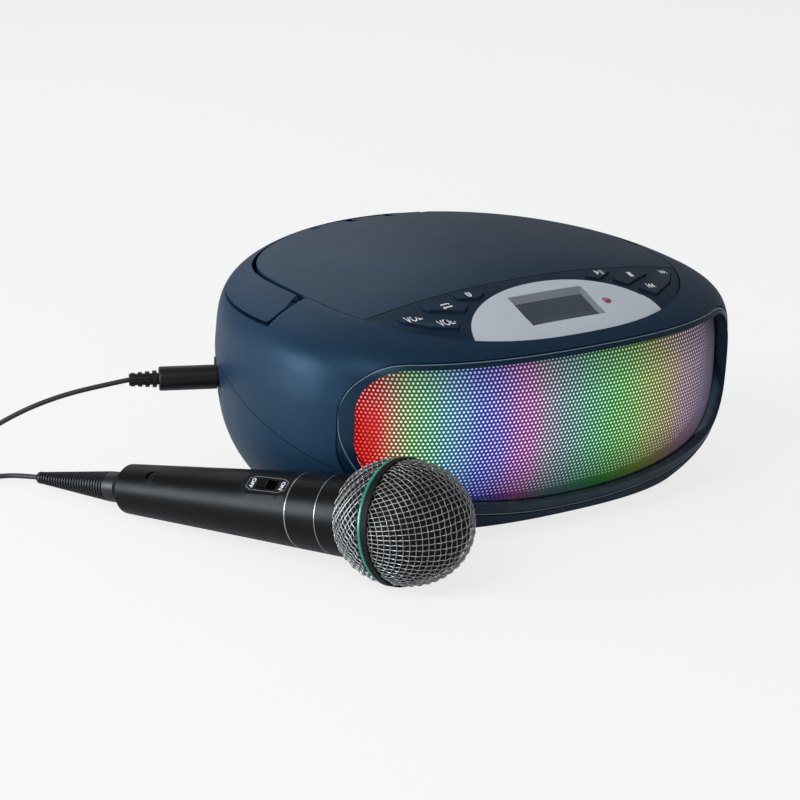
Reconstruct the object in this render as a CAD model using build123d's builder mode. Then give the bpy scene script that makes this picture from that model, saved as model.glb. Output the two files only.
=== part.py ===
from build123d import *
from math import cos, degrees, hypot, pi, radians, sin, tan
import os

os.makedirs("parts", exist_ok=True)

# Frame: X to the right, Y to the back, Z up. The origin is under the middle of the case, on the
# plane of its feet. All sizes are millimetres.

# ---------------------------------------------------------------- driving dimensions: the case
HALF_WIDTH = 122.0
HALF_DEPTH = 111.1
WIDEST_Y = -19.3            # the case is widest a little in front of its middle
WIDEST_Z = 71.4
FOOT_HEIGHT = 5.5
SHOULDER_Z = 104.25         # where the side wall turns into the domed top, at WIDEST_Y
DOME_RISE = 10.0
TOP_LEAN = 0.071            # the top rises towards the back
FRONT_POWER, REAR_POWER = 2.46, 2.08
BELLY_INSET, BELLY_POWER = 21.2, 3.4
SHOULDER_INSET, SHOULDER_POWER, SHOULDER_SLOPE = 23.6, 4.4, 3.2
WALL = 2.6
PARTING_Z, PARTING_SLOPE = 57.3, 0.277      # the joint of the two housings climbs to the back
PARTING_GAP = 0.4

# Top deck: one egg-shaped outline, the disc lid behind and the control panel in front
DECK_Y = -11.0
DECK_HALF_WIDTH, DECK_FRONT, DECK_REAR = 94.5, 88.8, 92.0
DECK_FRONT_POWER, DECK_REAR_POWER = 2.5, 2.77
LID_FRONT_Y = -53.7
SEAM = 0.5
SHELF_Z, SHELF_THICK = 93.9, 2.6            # inner shelf under the lid and the handle
HANDLE_Z = 95.3                             # lower edge of the folded handle
HANDLE_FRONT_Y = -14.5
HANDLE_GAP = 1.6

# Front opening, drawn in the XZ plane: (half width, top, bottom, top radius, bottom radius)
BOTTOM_ARC = 690.0                          # radius that lifts the lower edge towards the sides
FRAME_OUTER = (111.0, 88.5, 10.0, 24.0, 32.0)
FRAME_INNER = (106.0, 85.7, 16.5, 19.0, 27.0)
GRILLE_DEPTH, GRILLE_THICK = 6.5, 1.0
FRAME_BACK = 9.0

# Disc bay
DISC_X, DISC_Y = 0.0, 13.0
WELL_RADIUS, WELL_FLOOR_Z = 61.5, 88.0
DISC_PLANE_Z = 91.6

# Lid hinge and handle pivots
LID_HINGE = (0.0, 77.5, 108.9)
HINGE_PIN_RADIUS = 1.25
HANDLE_PIVOT_Y, HANDLE_PIVOT_Z = -10.4, 100.5

# Jack plate on the left side: outward direction, centre and jack spacing
JACK_OUT = Vector(-0.900, 0.436, 0).normalized()
JACK_ALONG = Vector(0.436, 0.900, 0).normalized()
JACK_CENTRE = Vector(-105.4, 49.0, 56.0)
JACK_PITCH = 17.0
JACK_RADIUS = 3.25
PLUG_LENGTH, RELIEF_LENGTH = 27.5, 14.0

# Microphone: axis from its tail to the ring of its head, lying on the floor
MIC_TAIL = Vector(-160.3, 33.4, 11.8)
MIC_RING = Vector(-108.6, -115.3, 28.4)
MIC_AXIS = (MIC_RING - MIC_TAIL).normalized()
MIC_LENGTH = (MIC_RING - MIC_TAIL).length
MIC_TAIL_RADIUS, MIC_NECK_RADIUS, MIC_RING_RADIUS = 11.6, 18.6, 28.0
MIC_HEAD_LENGTH = 33.0
BOOT_LENGTH = 60.0

# Cord between the plug and the microphone
CORD_DIAMETER = 2.4
COIL_CENTRE = (-240.0, 142.0)
COIL_RADIUS, COIL_WIDTH, COIL_HEIGHT = 14.6, 10.4, 10.0
COIL_TURNS = 17


# ---------------------------------------------------------------- shape of the case
def side_inset(level):
    """How far the wall stands in from its widest outline at a height."""
    if level < WIDEST_Z:
        return BELLY_INSET * ((WIDEST_Z - level) / (WIDEST_Z - FOOT_HEIGHT)) ** BELLY_POWER
    rise = (level - WIDEST_Z) / (SHOULDER_Z - WIDEST_Z)
    return SHOULDER_INSET * rise ** SHOULDER_POWER + SHOULDER_SLOPE * rise


def signed_power(value, power):
    """Power that keeps the sign of its base, for superellipses."""
    return abs(value) ** power * (1 if value >= 0 else -1)


def superellipse(half_width, front, rear, front_power, rear_power, y_centre, count=28):
    """Points round an egg-shaped outline whose front and rear halves differ."""
    points = []
    for step in range(count):
        angle = 2 * pi * step / count
        power, reach = (rear_power, rear) if sin(angle) >= 0 else (front_power, front)
        x = half_width * signed_power(cos(angle), 2 / power)
        points.append((x, y_centre + reach * signed_power(sin(angle), 2 / power)))
    return points


def surface_z(x, y):
    """Height of the top or shoulder of the case above a point of the plan."""
    low, high = WIDEST_Z, SHOULDER_Z + DOME_RISE + 20
    for _ in range(40):
        middle = (low + high) / 2
        level = middle
        for _ in range(6):
            rise = min(max((level - WIDEST_Z) / (SHOULDER_Z - WIDEST_Z), 0), 1)
            level = middle - TOP_LEAN * rise * (y - WIDEST_Y)
        inset = side_inset(min(level, SHOULDER_Z))
        depth_y = y - WIDEST_Y
        power = REAR_POWER if depth_y >= 0 else FRONT_POWER
        reach = HALF_DEPTH - WIDEST_Y if depth_y >= 0 else HALF_DEPTH + WIDEST_Y
        size = abs(x / (HALF_WIDTH - inset)) ** power + abs(depth_y / (reach - inset)) ** power
        radius = size ** (1 / power)
        roof = SHOULDER_Z + DOME_RISE * (1 - min(radius, 1) ** 2)
        if radius < 1 and level < roof:
            low = middle
        else:
            high = middle
    return low


WALL_LEVELS = (5.5, 11, 22, 38, 58, 71.4, 82, 90, 96, 100.5, 104.25)
DOME_SCALES = (1.0, 0.85, 0.65, 0.4, 0.15)


def case_ring(level, scale, inset):
    """Face across the case at a level of its wall, or at a scale of the dome's outline."""
    squeeze = (SHOULDER_Z - FOOT_HEIGHT - 2 * inset) / (SHOULDER_Z - FOOT_HEIGHT)
    wall_in = side_inset(level) + inset
    lean = TOP_LEAN * min(max((level - WIDEST_Z) / (SHOULDER_Z - WIDEST_Z), 0), 1)
    height = FOOT_HEIGHT + inset + (level - FOOT_HEIGHT) * squeeze + DOME_RISE * (1 - scale ** 2)
    outline = superellipse(
        (HALF_WIDTH - wall_in) * scale,
        (HALF_DEPTH + WIDEST_Y - wall_in) * scale,
        (HALF_DEPTH - WIDEST_Y - wall_in) * scale,
        FRONT_POWER,
        REAR_POWER,
        0,
    )
    with BuildSketch(Plane(origin=(0, WIDEST_Y, height), x_dir=(1, 0, 0), z_dir=(0, -lean, 1))) as ring:
        with BuildLine():
            Spline(*outline, periodic=True)
        make_face()
    return ring.sketch


def case_form(inset=0.0):
    """Solid with the outer shape of the case, every wall moved in by inset."""
    with BuildPart() as form:
        loft([case_ring(level, 1.0, inset) for level in WALL_LEVELS])
        loft([case_ring(SHOULDER_Z, scale, inset) for scale in DOME_SCALES])
    return form.part


def deck_prism(grow, bottom, top):
    """Upright prism of the top deck's outline."""
    outline = superellipse(
        DECK_HALF_WIDTH + grow,
        DECK_FRONT + grow,
        DECK_REAR + grow,
        DECK_FRONT_POWER,
        DECK_REAR_POWER,
        DECK_Y,
    )
    with BuildPart() as prism:
        with BuildSketch(Plane.XY.offset(bottom)):
            with BuildLine():
                Spline(*outline, periodic=True)
            make_face()
        extrude(amount=top - bottom)
    return prism.part


def front_prism(opening, grow=0.0, y_back=-40.0):
    """Prism along Y of the front opening's outline, a rounded trapezoid with a bowed lower edge."""
    half_width, top, bottom, top_radius, bottom_radius = opening
    half_width, top, bottom = half_width + grow, top + grow, bottom - grow
    corner_z = bottom + half_width ** 2 / BOTTOM_ARC
    with BuildPart() as prism:
        with BuildSketch(Plane(origin=(0, y_back, 0), x_dir=(1, 0, 0), z_dir=(0, -1, 0))) as sketch:
            with BuildLine():
                Line((-half_width, top), (half_width, top))
                Line((half_width, top), (half_width, corner_z))
                ThreePointArc((half_width, corner_z), (0, bottom), (-half_width, corner_z))
                Line((-half_width, corner_z), (-half_width, top))
            make_face()
            corners = sketch.vertices().group_by(Axis.Y)
            fillet(corners[-1], top_radius + grow)
            fillet(sketch.vertices().group_by(Axis.Y)[0], bottom_radius + grow)
        extrude(amount=120)
    return prism.part


def block(x_low, x_high, y_low, y_high, z_low, z_high):
    """Plain box between two corners, for trimming."""
    centre = ((x_low + x_high) / 2, (y_low + y_high) / 2, (z_low + z_high) / 2)
    with BuildPart() as solid:
        with Locations(centre):
            Box(x_high - x_low, y_high - y_low, z_high - z_low)
    return solid.part


def finish(part, name):
    """Label a finished sub-part and write its file."""
    part.label = name
    export_step(part, f"parts/{name}.step")


outer_form = case_form()
inner_form = case_form(WALL)
case_shell = outer_form - inner_form
jack_front = JACK_CENTRE - JACK_ALONG * (JACK_PITCH / 2)
jack_rear = JACK_CENTRE + JACK_ALONG * (JACK_PITCH / 2)
jack_plane = Plane(origin=JACK_CENTRE, x_dir=JACK_ALONG, z_dir=JACK_OUT)
parting_plane = Plane(origin=(0, 0, PARTING_Z), x_dir=(1, 0, 0), z_dir=(0, -PARTING_SLOPE, 1))

# ---------------------------------------------------------------- feet, screws, battery bay
FLOOR_Z = 8.1
FEET = [(-66, -56), (66, -56), (-42, 70), (42, 70)]
FOOT_RADIUS = 8.5
SCREWS = [(-84, -22), (84, -22), (-16, 82), (16, 82)]
BAY_HALF_WIDTH, BAY_FRONT, BAY_REAR, BAY_TOP = 79.0, -6.0, 49.0, 35.0
DOOR_TRAVEL = 9.0
DOOR_THICK = 2.2
INLET_X, INLET_Z, INLET_WIDTH, INLET_HEIGHT = 0.0, 27.0, 22.0, 13.0
INLET_FACE_Y = 103.6
MAIN_BOARD_Z = 44.0
BOSS_TOP = 22.5

with BuildPart() as lower_housing:
    add(case_shell)
    split(bisect_by=parting_plane.offset(-PARTING_GAP / 2), keep=Keep.BOTTOM)
    add(front_prism(FRAME_OUTER, 0.3), mode=Mode.SUBTRACT)
    # battery bay: walls that stand up from the floor, with a roof
    with BuildSketch(Plane.XY.offset(FOOT_HEIGHT)):
        with Locations((0, (BAY_FRONT + BAY_REAR) / 2)):
            Rectangle(2 * BAY_HALF_WIDTH + 4, BAY_REAR - BAY_FRONT + 4)
    extrude(amount=BAY_TOP + 2 - FOOT_HEIGHT)
    with BuildSketch(Plane.XY.offset(FOOT_HEIGHT - 1)):
        with Locations((0, (BAY_FRONT + BAY_REAR) / 2)):
            Rectangle(2 * BAY_HALF_WIDTH, BAY_REAR - BAY_FRONT)
    extrude(amount=BAY_TOP + 1 - FOOT_HEIGHT, mode=Mode.SUBTRACT)
    # shallow seat for the sliding door, with the room that it slides into
    with BuildSketch(Plane.XY.offset(FOOT_HEIGHT - 1)):
        with Locations((0, (BAY_FRONT + BAY_REAR + DOOR_TRAVEL) / 2)):
            Rectangle(2 * BAY_HALF_WIDTH + 1, BAY_REAR - BAY_FRONT + DOOR_TRAVEL + 1)
    extrude(amount=1 + DOOR_THICK + 0.2, mode=Mode.SUBTRACT)
    with BuildSketch(Plane.XY.offset(FOOT_HEIGHT + DOOR_THICK + 0.2)):
        with Locations((0, BAY_REAR + DOOR_TRAVEL / 2 + 1)):
            Rectangle(2 * BAY_HALF_WIDTH + 1, DOOR_TRAVEL + 2)
    extrude(amount=2)
    # screw bosses with their holes
    with Locations(*[(x, y, FOOT_HEIGHT + 1) for x, y in SCREWS]):
        Cylinder(4.2, BOSS_TOP - FOOT_HEIGHT - 1, align=(Align.CENTER, Align.CENTER, Align.MIN))
    with Locations(*[(x, y, FOOT_HEIGHT - 1) for x, y in SCREWS]):
        Cylinder(1.6, 30, align=(Align.CENTER, Align.CENTER, Align.MIN), mode=Mode.SUBTRACT)
        Cylinder(3.3, 4, align=(Align.CENTER, Align.CENTER, Align.MIN), mode=Mode.SUBTRACT)
    # window for the jack plate and the hole of the mains inlet
    with BuildSketch(jack_plane.offset(-12)):
        RectangleRounded(37.0, 18.0, 7.5)
    extrude(amount=24, mode=Mode.SUBTRACT)
    with BuildSketch(Plane(origin=(INLET_X, 85, INLET_Z), x_dir=(-1, 0, 0), z_dir=(0, 1, 0))):
        Rectangle(INLET_WIDTH, INLET_HEIGHT)
    extrude(amount=40, mode=Mode.SUBTRACT)
    # posts for the main board on the roof of the bay
    with Locations(*[(x, y, BAY_TOP + 2) for x in (-64, 64) for y in (2, 42)]):
        Cylinder(3.0, MAIN_BOARD_Z - BAY_TOP - 2, align=(Align.CENTER, Align.CENTER, Align.MIN))
finish(lower_housing.part, "lower_housing")

with BuildPart() as battery_door:
    with BuildSketch(Plane.XY.offset(FOOT_HEIGHT)):
        with Locations((0, (BAY_FRONT + BAY_REAR) / 2)):
            Rectangle(2 * BAY_HALF_WIDTH + 0.4, BAY_REAR - BAY_FRONT + 0.4)
    extrude(amount=DOOR_THICK)
    with BuildSketch(Plane.XY.offset(FOOT_HEIGHT)):
        with GridLocations(0, 3.2, 1, 5):
            SlotOverall(34, 1.4)
    extrude(amount=0.7, mode=Mode.SUBTRACT)
finish(battery_door.part, "battery_door")

CELL_RADIUS, CELL_LENGTH = 13.1, 50.0
with BuildPart() as battery_contacts:
    for side in (-1, 1):
        for row in (-1, 1):
            plane = Plane(
                origin=(side * (BAY_HALF_WIDTH - 0.1), (BAY_FRONT + BAY_REAR) / 2 + row * 13.6, 21.5),
                x_dir=(0, 1, 0),
                z_dir=(-side, 0, 0),
            )
            with BuildSketch(plane):
                RectangleRounded(13, 13, 2)
            extrude(amount=0.5)
            with BuildSketch(plane.offset(0.5)):
                Circle(4.6)
                Circle(3.4, mode=Mode.SUBTRACT)
            extrude(amount=2.6)
finish(battery_contacts.part, "battery_contacts")

with BuildPart() as feet:
    with Locations(*[(x, y, FOOT_HEIGHT) for x, y in FEET]):
        Cylinder(FOOT_RADIUS, FOOT_HEIGHT, align=(Align.CENTER, Align.CENTER, Align.MAX))
    fillet(feet.edges().group_by(Axis.Z)[0], 1.2)
finish(feet.part, "feet")

with BuildPart() as case_screws:
    with Locations(*[(x, y, FOOT_HEIGHT + 1.2) for x, y in SCREWS]):
        Cylinder(3.0, 1.8, align=(Align.CENTER, Align.CENTER, Align.MIN))
    with Locations(*[(x, y, FOOT_HEIGHT + 3.0) for x, y in SCREWS]):
        Cylinder(1.5, 12, align=(Align.CENTER, Align.CENTER, Align.MIN))
    with Locations(*[(x, y, FOOT_HEIGHT + 1.2) for x, y in SCREWS]):
        Box(4.2, 0.8, 1.6, mode=Mode.SUBTRACT)
        Box(0.8, 4.2, 1.6, mode=Mode.SUBTRACT)
finish(case_screws.part, "case_screws")

# ---------------------------------------------------------------- upper housing
EAR_X, EAR_WIDTH = 98.6, 2.4                # the handle's ears
HANDLE_PIN_RADIUS, HANDLE_PIN_X = 1.1, 99.8
with BuildPart() as rear_shelf:
    add(outer_form)
    with Locations((0, 0, SHELF_Z - SHELF_THICK / 2)):
        Box(300, 300, SHELF_THICK, mode=Mode.INTERSECT)
    add(block(-150, 150, -150, LID_FRONT_Y + 1.5, 80, 100), mode=Mode.SUBTRACT)
    with Locations((DISC_X, DISC_Y, SHELF_Z)):
        Cylinder(WELL_RADIUS + 3, 20, mode=Mode.SUBTRACT)

with BuildPart() as recess_wall:
    add(outer_form)
    add(
        block(-150, 150, HANDLE_FRONT_Y - 4.2, HANDLE_FRONT_Y - 1.8, SHELF_Z - 1, 130),
        mode=Mode.INTERSECT,
    )
    add(deck_prism(0.4, 60, 140), mode=Mode.SUBTRACT)

HINGE_EARS = ((-33.0, 4.0), (-11.0, 4.0), (11.0, 4.0), (33.0, 4.0))
with BuildPart() as hinge_ears:
    for ear_x, ear_width in HINGE_EARS:
        ear_plane = Plane(origin=(ear_x - ear_width / 2, LID_HINGE[1], 0), x_dir=(0, 1, 0), z_dir=(1, 0, 0))
        with BuildSketch(ear_plane):
            with Locations((0, LID_HINGE[2])):
                Circle(2.2)
            with Locations((0, (LID_HINGE[2] + SHELF_Z) / 2)):
                Rectangle(4.4, LID_HINGE[2] - SHELF_Z)
            with Locations((0, LID_HINGE[2])):
                Circle(HINGE_PIN_RADIUS, mode=Mode.SUBTRACT)
        extrude(amount=ear_width)

with BuildPart() as upper_housing:
    add(case_shell)
    split(bisect_by=parting_plane.offset(PARTING_GAP / 2), keep=Keep.TOP)
    add(front_prism(FRAME_OUTER, 0.3), mode=Mode.SUBTRACT)
    add(block(-150, 150, HANDLE_FRONT_Y - 1.8, 150, SHELF_Z, 140), mode=Mode.SUBTRACT)
    add(deck_prism(0.0, SHELF_Z - 12, 140) & block(-150, 150, -150, 0, 60, 140), mode=Mode.SUBTRACT)
    add(rear_shelf.part)
    add(recess_wall.part)
    add(hinge_ears.part)
    # ears that carry the handle's pivot pins
    for side in (-1, 1):
        ear_plane = Plane(origin=(side * EAR_X - EAR_WIDTH / 2, HANDLE_PIVOT_Y, 0), x_dir=(0, 1, 0), z_dir=(1, 0, 0))
        with BuildSketch(ear_plane):
            with Locations((0, HANDLE_PIVOT_Z)):
                Circle(2.2)
            with Locations((0, (HANDLE_PIVOT_Z + SHELF_Z - 1) / 2)):
                Rectangle(4.4, HANDLE_PIVOT_Z - SHELF_Z + 1)
            with Locations((0, HANDLE_PIVOT_Z)):
                Circle(HANDLE_PIN_RADIUS, mode=Mode.SUBTRACT)
        extrude(amount=EAR_WIDTH)
    # posts down to the screw bosses
    with Locations(*[(x, y, BOSS_TOP + 0.2) for x, y in SCREWS]):
        Cylinder(4.0, SHELF_Z - 1 - BOSS_TOP, align=(Align.CENTER, Align.CENTER, Align.MIN))
        Cylinder(1.5, 12, align=(Align.CENTER, Align.CENTER, Align.MIN), mode=Mode.SUBTRACT)
finish(upper_housing.part, "upper_housing")

# ---------------------------------------------------------------- carrying handle
# A bow folded round the back of the deck. It turns about two pins near its front ends.
with BuildPart() as carry_handle:
    add(outer_form)
    with BuildSketch(Plane(origin=(-150, 0, 0), x_dir=(0, 1, 0), z_dir=(1, 0, 0))) as profile:
        with BuildLine():
            Polyline(
                (HANDLE_FRONT_Y, HANDLE_Z),
                (150, HANDLE_Z),
                (150, 140),
                (HANDLE_FRONT_Y + 5.3, 140),
                (HANDLE_FRONT_Y + 5.3, HANDLE_Z + 9.9),
                (HANDLE_FRONT_Y, HANDLE_Z + 5.6),
                close=True,
            )
        make_face()
        fillet(profile.vertices().sort_by_distance((HANDLE_FRONT_Y, HANDLE_Z))[0], 2.4)
    extrude(amount=300, mode=Mode.INTERSECT)
    add(deck_prism(HANDLE_GAP, 60, 140), mode=Mode.SUBTRACT)
    # room for the lid's hinge, then the slots and bores round the pivot ears
    add(block(-38, 38, 60, 83.2, 90, 140), mode=Mode.SUBTRACT)
    for side in (-1, 1):
        with Locations((side * EAR_X, HANDLE_PIVOT_Y - 1.15, HANDLE_PIVOT_Z - 1.55)):
            Box(EAR_WIDTH + 0.8, 7.3, 8.1, mode=Mode.SUBTRACT)
        with Locations(Location((side * HANDLE_PIN_X, HANDLE_PIVOT_Y, HANDLE_PIVOT_Z), (0, 90, 0))):
            Cylinder(HANDLE_PIN_RADIUS + 0.05, 7.3, mode=Mode.SUBTRACT)
finish(carry_handle.part, "carry_handle")

with BuildPart() as handle_pins:
    for side in (-1, 1):
        with Locations(Location((side * HANDLE_PIN_X, HANDLE_PIVOT_Y, HANDLE_PIVOT_Z), (0, 90, 0))):
            Cylinder(HANDLE_PIN_RADIUS, 7.0)
finish(handle_pins.part, "handle_pins")

# ---------------------------------------------------------------- front: frame, grille, light, speakers
BAFFLE_Y, BAFFLE_THICK = -62.0, 3.0
frame_form = case_form(0.5)
grille_form = case_form(GRILLE_DEPTH)
grille_back = case_form(GRILLE_DEPTH + GRILLE_THICK)
frame_back = case_form(FRAME_BACK)
diffuser_back = case_form(FRAME_BACK + 1.2)
frame_hole = front_prism(FRAME_INNER)

with BuildPart() as grille_frame:
    add(frame_form)
    add(front_prism(FRAME_OUTER), mode=Mode.INTERSECT)
    add(frame_back, mode=Mode.SUBTRACT)
    add(frame_hole, mode=Mode.SUBTRACT)
    add(block(-150, 150, BAFFLE_Y - 1, 0, 0, 100), mode=Mode.SUBTRACT)
finish(grille_frame.part, "grille_frame")

with BuildPart() as speaker_grille:
    add(grille_form)
    add(frame_hole, mode=Mode.INTERSECT)
    add(grille_back, mode=Mode.SUBTRACT)
    add(block(-150, 150, BAFFLE_Y - 0.8, 0, 0, 100), mode=Mode.SUBTRACT)
finish(speaker_grille.part, "speaker_grille")

with BuildPart() as light_diffuser:
    add(frame_back)
    add(front_prism(FRAME_INNER, 1.0), mode=Mode.INTERSECT)
    add(diffuser_back, mode=Mode.SUBTRACT)
    add(block(-150, 150, BAFFLE_Y - 0.8, 0, 0, 100), mode=Mode.SUBTRACT)
finish(light_diffuser.part, "light_diffuser")

SPEAKER_X, SPEAKER_Z, SPEAKER_RADIUS = 46.0, 46.0, 29.0
back_plane = Plane(origin=(0, BAFFLE_Y, 0), x_dir=(-1, 0, 0), z_dir=(0, 1, 0))
with BuildPart() as speaker_baffle:
    with BuildSketch(back_plane):
        with BuildLine():
            Polyline(
                (-56, FLOOR_Z), (56, FLOOR_Z), (76, 26), (82, 40), (82, 80), (-82, 80), (-82, 40), (-76, 26), close=True
            )
        make_face()
        with Locations((-SPEAKER_X, SPEAKER_Z), (SPEAKER_X, SPEAKER_Z)):
            Circle(SPEAKER_RADIUS - 4, mode=Mode.SUBTRACT)
    extrude(amount=BAFFLE_THICK)
    # stand-offs for the light board
    with BuildSketch(back_plane):
        with GridLocations(140, 50, 2, 2):
            with Locations((0, 50)):
                Circle(2.6)
    extrude(amount=-2.0)
finish(speaker_baffle.part, "speaker_baffle")

with BuildPart() as led_board:
    with BuildSketch(Plane(origin=(0, BAFFLE_Y - 2.0, 52), x_dir=(1, 0, 0), z_dir=(0, -1, 0))):
        Rectangle(148, 56)
    extrude(amount=1.5)
    with Locations((0, BAFFLE_Y - 3.5, 50)):
        with Locations(*[(x * 16.0, 0, z * 18.0) for x in range(-4, 5) for z in (-1, 0, 1)]):
            Box(3.5, 1.2, 2.8, align=(Align.CENTER, Align.MAX, Align.CENTER))
finish(led_board.part, "led_board")

with BuildPart() as speaker_frames:
    for side in (-1, 1):
        with BuildPart(mode=Mode.PRIVATE) as basket:
            with BuildSketch(Plane.XZ):
                with BuildLine():
                    Polyline(
                        (SPEAKER_RADIUS, 0),
                        (SPEAKER_RADIUS, 1.2),
                        (25.5, 1.2),
                        (16.5, 13.0),
                        (16.5, 24.0),
                        (6.8, 24.0),
                        (6.8, 14.0),
                        (14.0, 12.0),
                        (24.0, 0),
                        close=True,
                    )
                make_face()
            revolve(axis=Axis.Z)
        add(
            Location((side * SPEAKER_X, BAFFLE_Y + BAFFLE_THICK, SPEAKER_Z), (-90, 0, 0)) * basket.part
        )
finish(speaker_frames.part, "speaker_frames")

with BuildPart() as speaker_cones:
    for side in (-1, 1):
        with BuildPart(mode=Mode.PRIVATE) as cone:
            with BuildSketch(Plane.XZ):
                with BuildLine():
                    Polyline(
                        (24.0, 0),
                        (23.2, 0),
                        (7.0, 10.6),
                        (0, 8.0),
                        (0, 8.8),
                        (6.4, 11.4),
                        (6.4, 20.0),
                        (6.8, 20.0),
                        (6.8, 11.9),
                        close=True,
                    )
                make_face()
            revolve(axis=Axis.Z)
        add(
            Location((side * SPEAKER_X, BAFFLE_Y + BAFFLE_THICK, SPEAKER_Z), (-90, 0, 0)) * cone.part
        )
finish(speaker_cones.part, "speaker_cones")

# ---------------------------------------------------------------- control panel
# The panel is the case's own top skin, cut out and turned down a little at its front edge.
PANEL_TILT, BEZEL_TILT = 2.7, 2.3
PANEL_AXIS_Z = 109.0
BEZEL_AXIS_Y, BEZEL_AXIS_Z = -99.5, 91.9
BEZEL_HALF_WIDTH, BEZEL_REACH, BEZEL_Y = 52.0, 29.2, -91.0
WINDOW_HALF_WIDTH, WINDOW_DEPTH, WINDOW_Y = 20.6, 20.0, -78.8
BEZEL_THICK, WINDOW_INSET = 2.2, 1.6
KEY_GAP, KEY_RISE, KEY_DEPTH, KEY_TRAVEL, KEY_FLANGE = 0.35, 1.0, 4.8, 0.9, 1.2


def turned(part, angle, y, z):
    """The part turned about a line along X through a point."""
    return Location((0, y, z)) * Location((0, 0, 0), (angle, 0, 0)) * Location((0, -y, -z)) * part


def panel_height(x, y):
    """Height of the turned panel above a point of the plan."""
    turn = radians(PANEL_TILT)
    y_before = y
    for _ in range(4):
        z_before = surface_z(x, y_before)
        y_after = LID_FRONT_Y + (y_before - LID_FRONT_Y) * cos(turn) - (z_before - PANEL_AXIS_Z) * sin(turn)
        y_before += y - y_after
    z_before = surface_z(x, y_before)
    return PANEL_AXIS_Z + (y_before - LID_FRONT_Y) * sin(turn) + (z_before - PANEL_AXIS_Z) * cos(turn)


panel_outer = turned(outer_form, PANEL_TILT, LID_FRONT_Y, PANEL_AXIS_Z)
panel_inner = turned(inner_form, PANEL_TILT, LID_FRONT_Y, PANEL_AXIS_Z)
bezel_outer = turned(panel_outer, BEZEL_TILT, BEZEL_AXIS_Y, BEZEL_AXIS_Z)
panel_edge = deck_prism(-SEAM, 60, 140)

with BuildPart() as bezel_prism:
    with BuildSketch(Plane.XY.offset(80)):
        with Locations((0, BEZEL_Y)):
            Ellipse(BEZEL_HALF_WIDTH, BEZEL_REACH)
            with Locations((0, -15)):
                Rectangle(120, 30, mode=Mode.SUBTRACT)
        with Locations((0, BEZEL_Y - 6)):
            Rectangle(2 * BEZEL_HALF_WIDTH, 12)
    extrude(amount=40)

with BuildPart() as window_prism:
    with BuildSketch(Plane.XY.offset(80)):
        with Locations((0, WINDOW_Y)):
            Rectangle(2 * WINDOW_HALF_WIDTH, WINDOW_DEPTH)
    extrude(amount=40)

# Key outlines in plan, with the point and direction of each rocker's hinge line
KEYS = {
    "volume_key": [(-76.4, -59.8), (-52.0, -76.2), (-55.2, -80.2), (-66.0, -74.6), (-74.3, -66.0)],
    "program_key": [(-61.8, -57.9), (-39.6, -65.8), (-44.8, -70.4), (-59.6, -63.4)],
    "function_key": [(-42.8, -57.2), (-25.4, -60.2), (-33.4, -63.9), (-41.4, -61.2)],
    "play_key": [(28.8, -61.2), (35.5, -57.4), (48.4, -56.8), (36.0, -64.2)],
    "stop_key": [(41.9, -65.6), (52.7, -58.7), (67.0, -57.9), (64.3, -62.6), (47.6, -70.6)],
    "skip_key": [(50.8, -74.0), (63.4, -66.8), (73.0, -58.4), (82.2, -59.0), (72.0, -70.7), (56.9, -80.0)],
}


def key_prism(outline, grow=0.0):
    """Upright prism of a key's outline with rounded corners."""
    with BuildPart() as prism:
        with BuildSketch(Plane.XY.offset(82)) as sketch:
            with BuildLine():
                Polyline(*outline, close=True)
            make_face()
            fillet(sketch.vertices(), 1.1)
            if grow:
                offset(amount=grow)
        extrude(amount=36)
    return prism.part


with BuildPart() as control_panel:
    add(panel_outer)
    add(panel_edge, mode=Mode.INTERSECT)
    add(block(-150, 150, LID_FRONT_Y - SEAM, 150, 60, 140), mode=Mode.SUBTRACT)
    add(panel_inner, mode=Mode.SUBTRACT)
    add(bezel_prism.part, mode=Mode.SUBTRACT)
    for outline in KEYS.values():
        add(key_prism(outline, KEY_GAP), mode=Mode.SUBTRACT)
finish(control_panel.part, "control_panel")

LENS_POINT = (27.0, -80.6)
with BuildPart() as display_bezel:
    add(bezel_outer)
    add(panel_edge, mode=Mode.INTERSECT)
    add(bezel_prism.part, mode=Mode.INTERSECT)
    add(Location((0, 0, -BEZEL_THICK)) * bezel_outer, mode=Mode.SUBTRACT)
    add(window_prism.part, mode=Mode.SUBTRACT)
    with Locations((*LENS_POINT, 100)):
        Cylinder(2.1, 30, mode=Mode.SUBTRACT)
finish(display_bezel.part, "display_bezel")

with BuildPart() as display_window:
    add(Location((0, 0, -WINDOW_INSET)) * bezel_outer)
    add(window_prism.part, mode=Mode.INTERSECT)
    add(Location((0, 0, -WINDOW_INSET - 1.2)) * bezel_outer, mode=Mode.SUBTRACT)
finish(display_window.part, "display_window")

lens_z = panel_height(*LENS_POINT) + 1.0
with BuildPart() as infrared_lens:
    with Locations((*LENS_POINT, lens_z + 0.4)):
        Cylinder(2.1, 6.0, align=(Align.CENTER, Align.CENTER, Align.MAX))
    fillet(infrared_lens.edges().group_by(Axis.Z)[-1], 0.9)
finish(infrared_lens.part, "infrared_lens")

# Display module, tilted like the window above it
module_angle = degrees(
    (panel_height(0, WINDOW_Y + 8) - panel_height(0, WINDOW_Y - 8)) / 16
)
MODULE_Z = panel_height(0, WINDOW_Y) - 2.6
with BuildPart() as display_module:
    with Locations(Location((0, WINDOW_Y + 0.4, MODULE_Z), (module_angle, 0, 0))):
        Box(44, 18, 3.0, align=(Align.CENTER, Align.CENTER, Align.MAX))
finish(display_module.part, "display_module")

KEY_BOARD_Z, SWITCH_HEIGHT = 86.0, 5.6
POST_RADIUS = 1.5


def middle(outline):
    """Middle of a key's outline."""
    return (sum(x for x, _ in outline) / len(outline), sum(y for _, y in outline) / len(outline))


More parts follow.
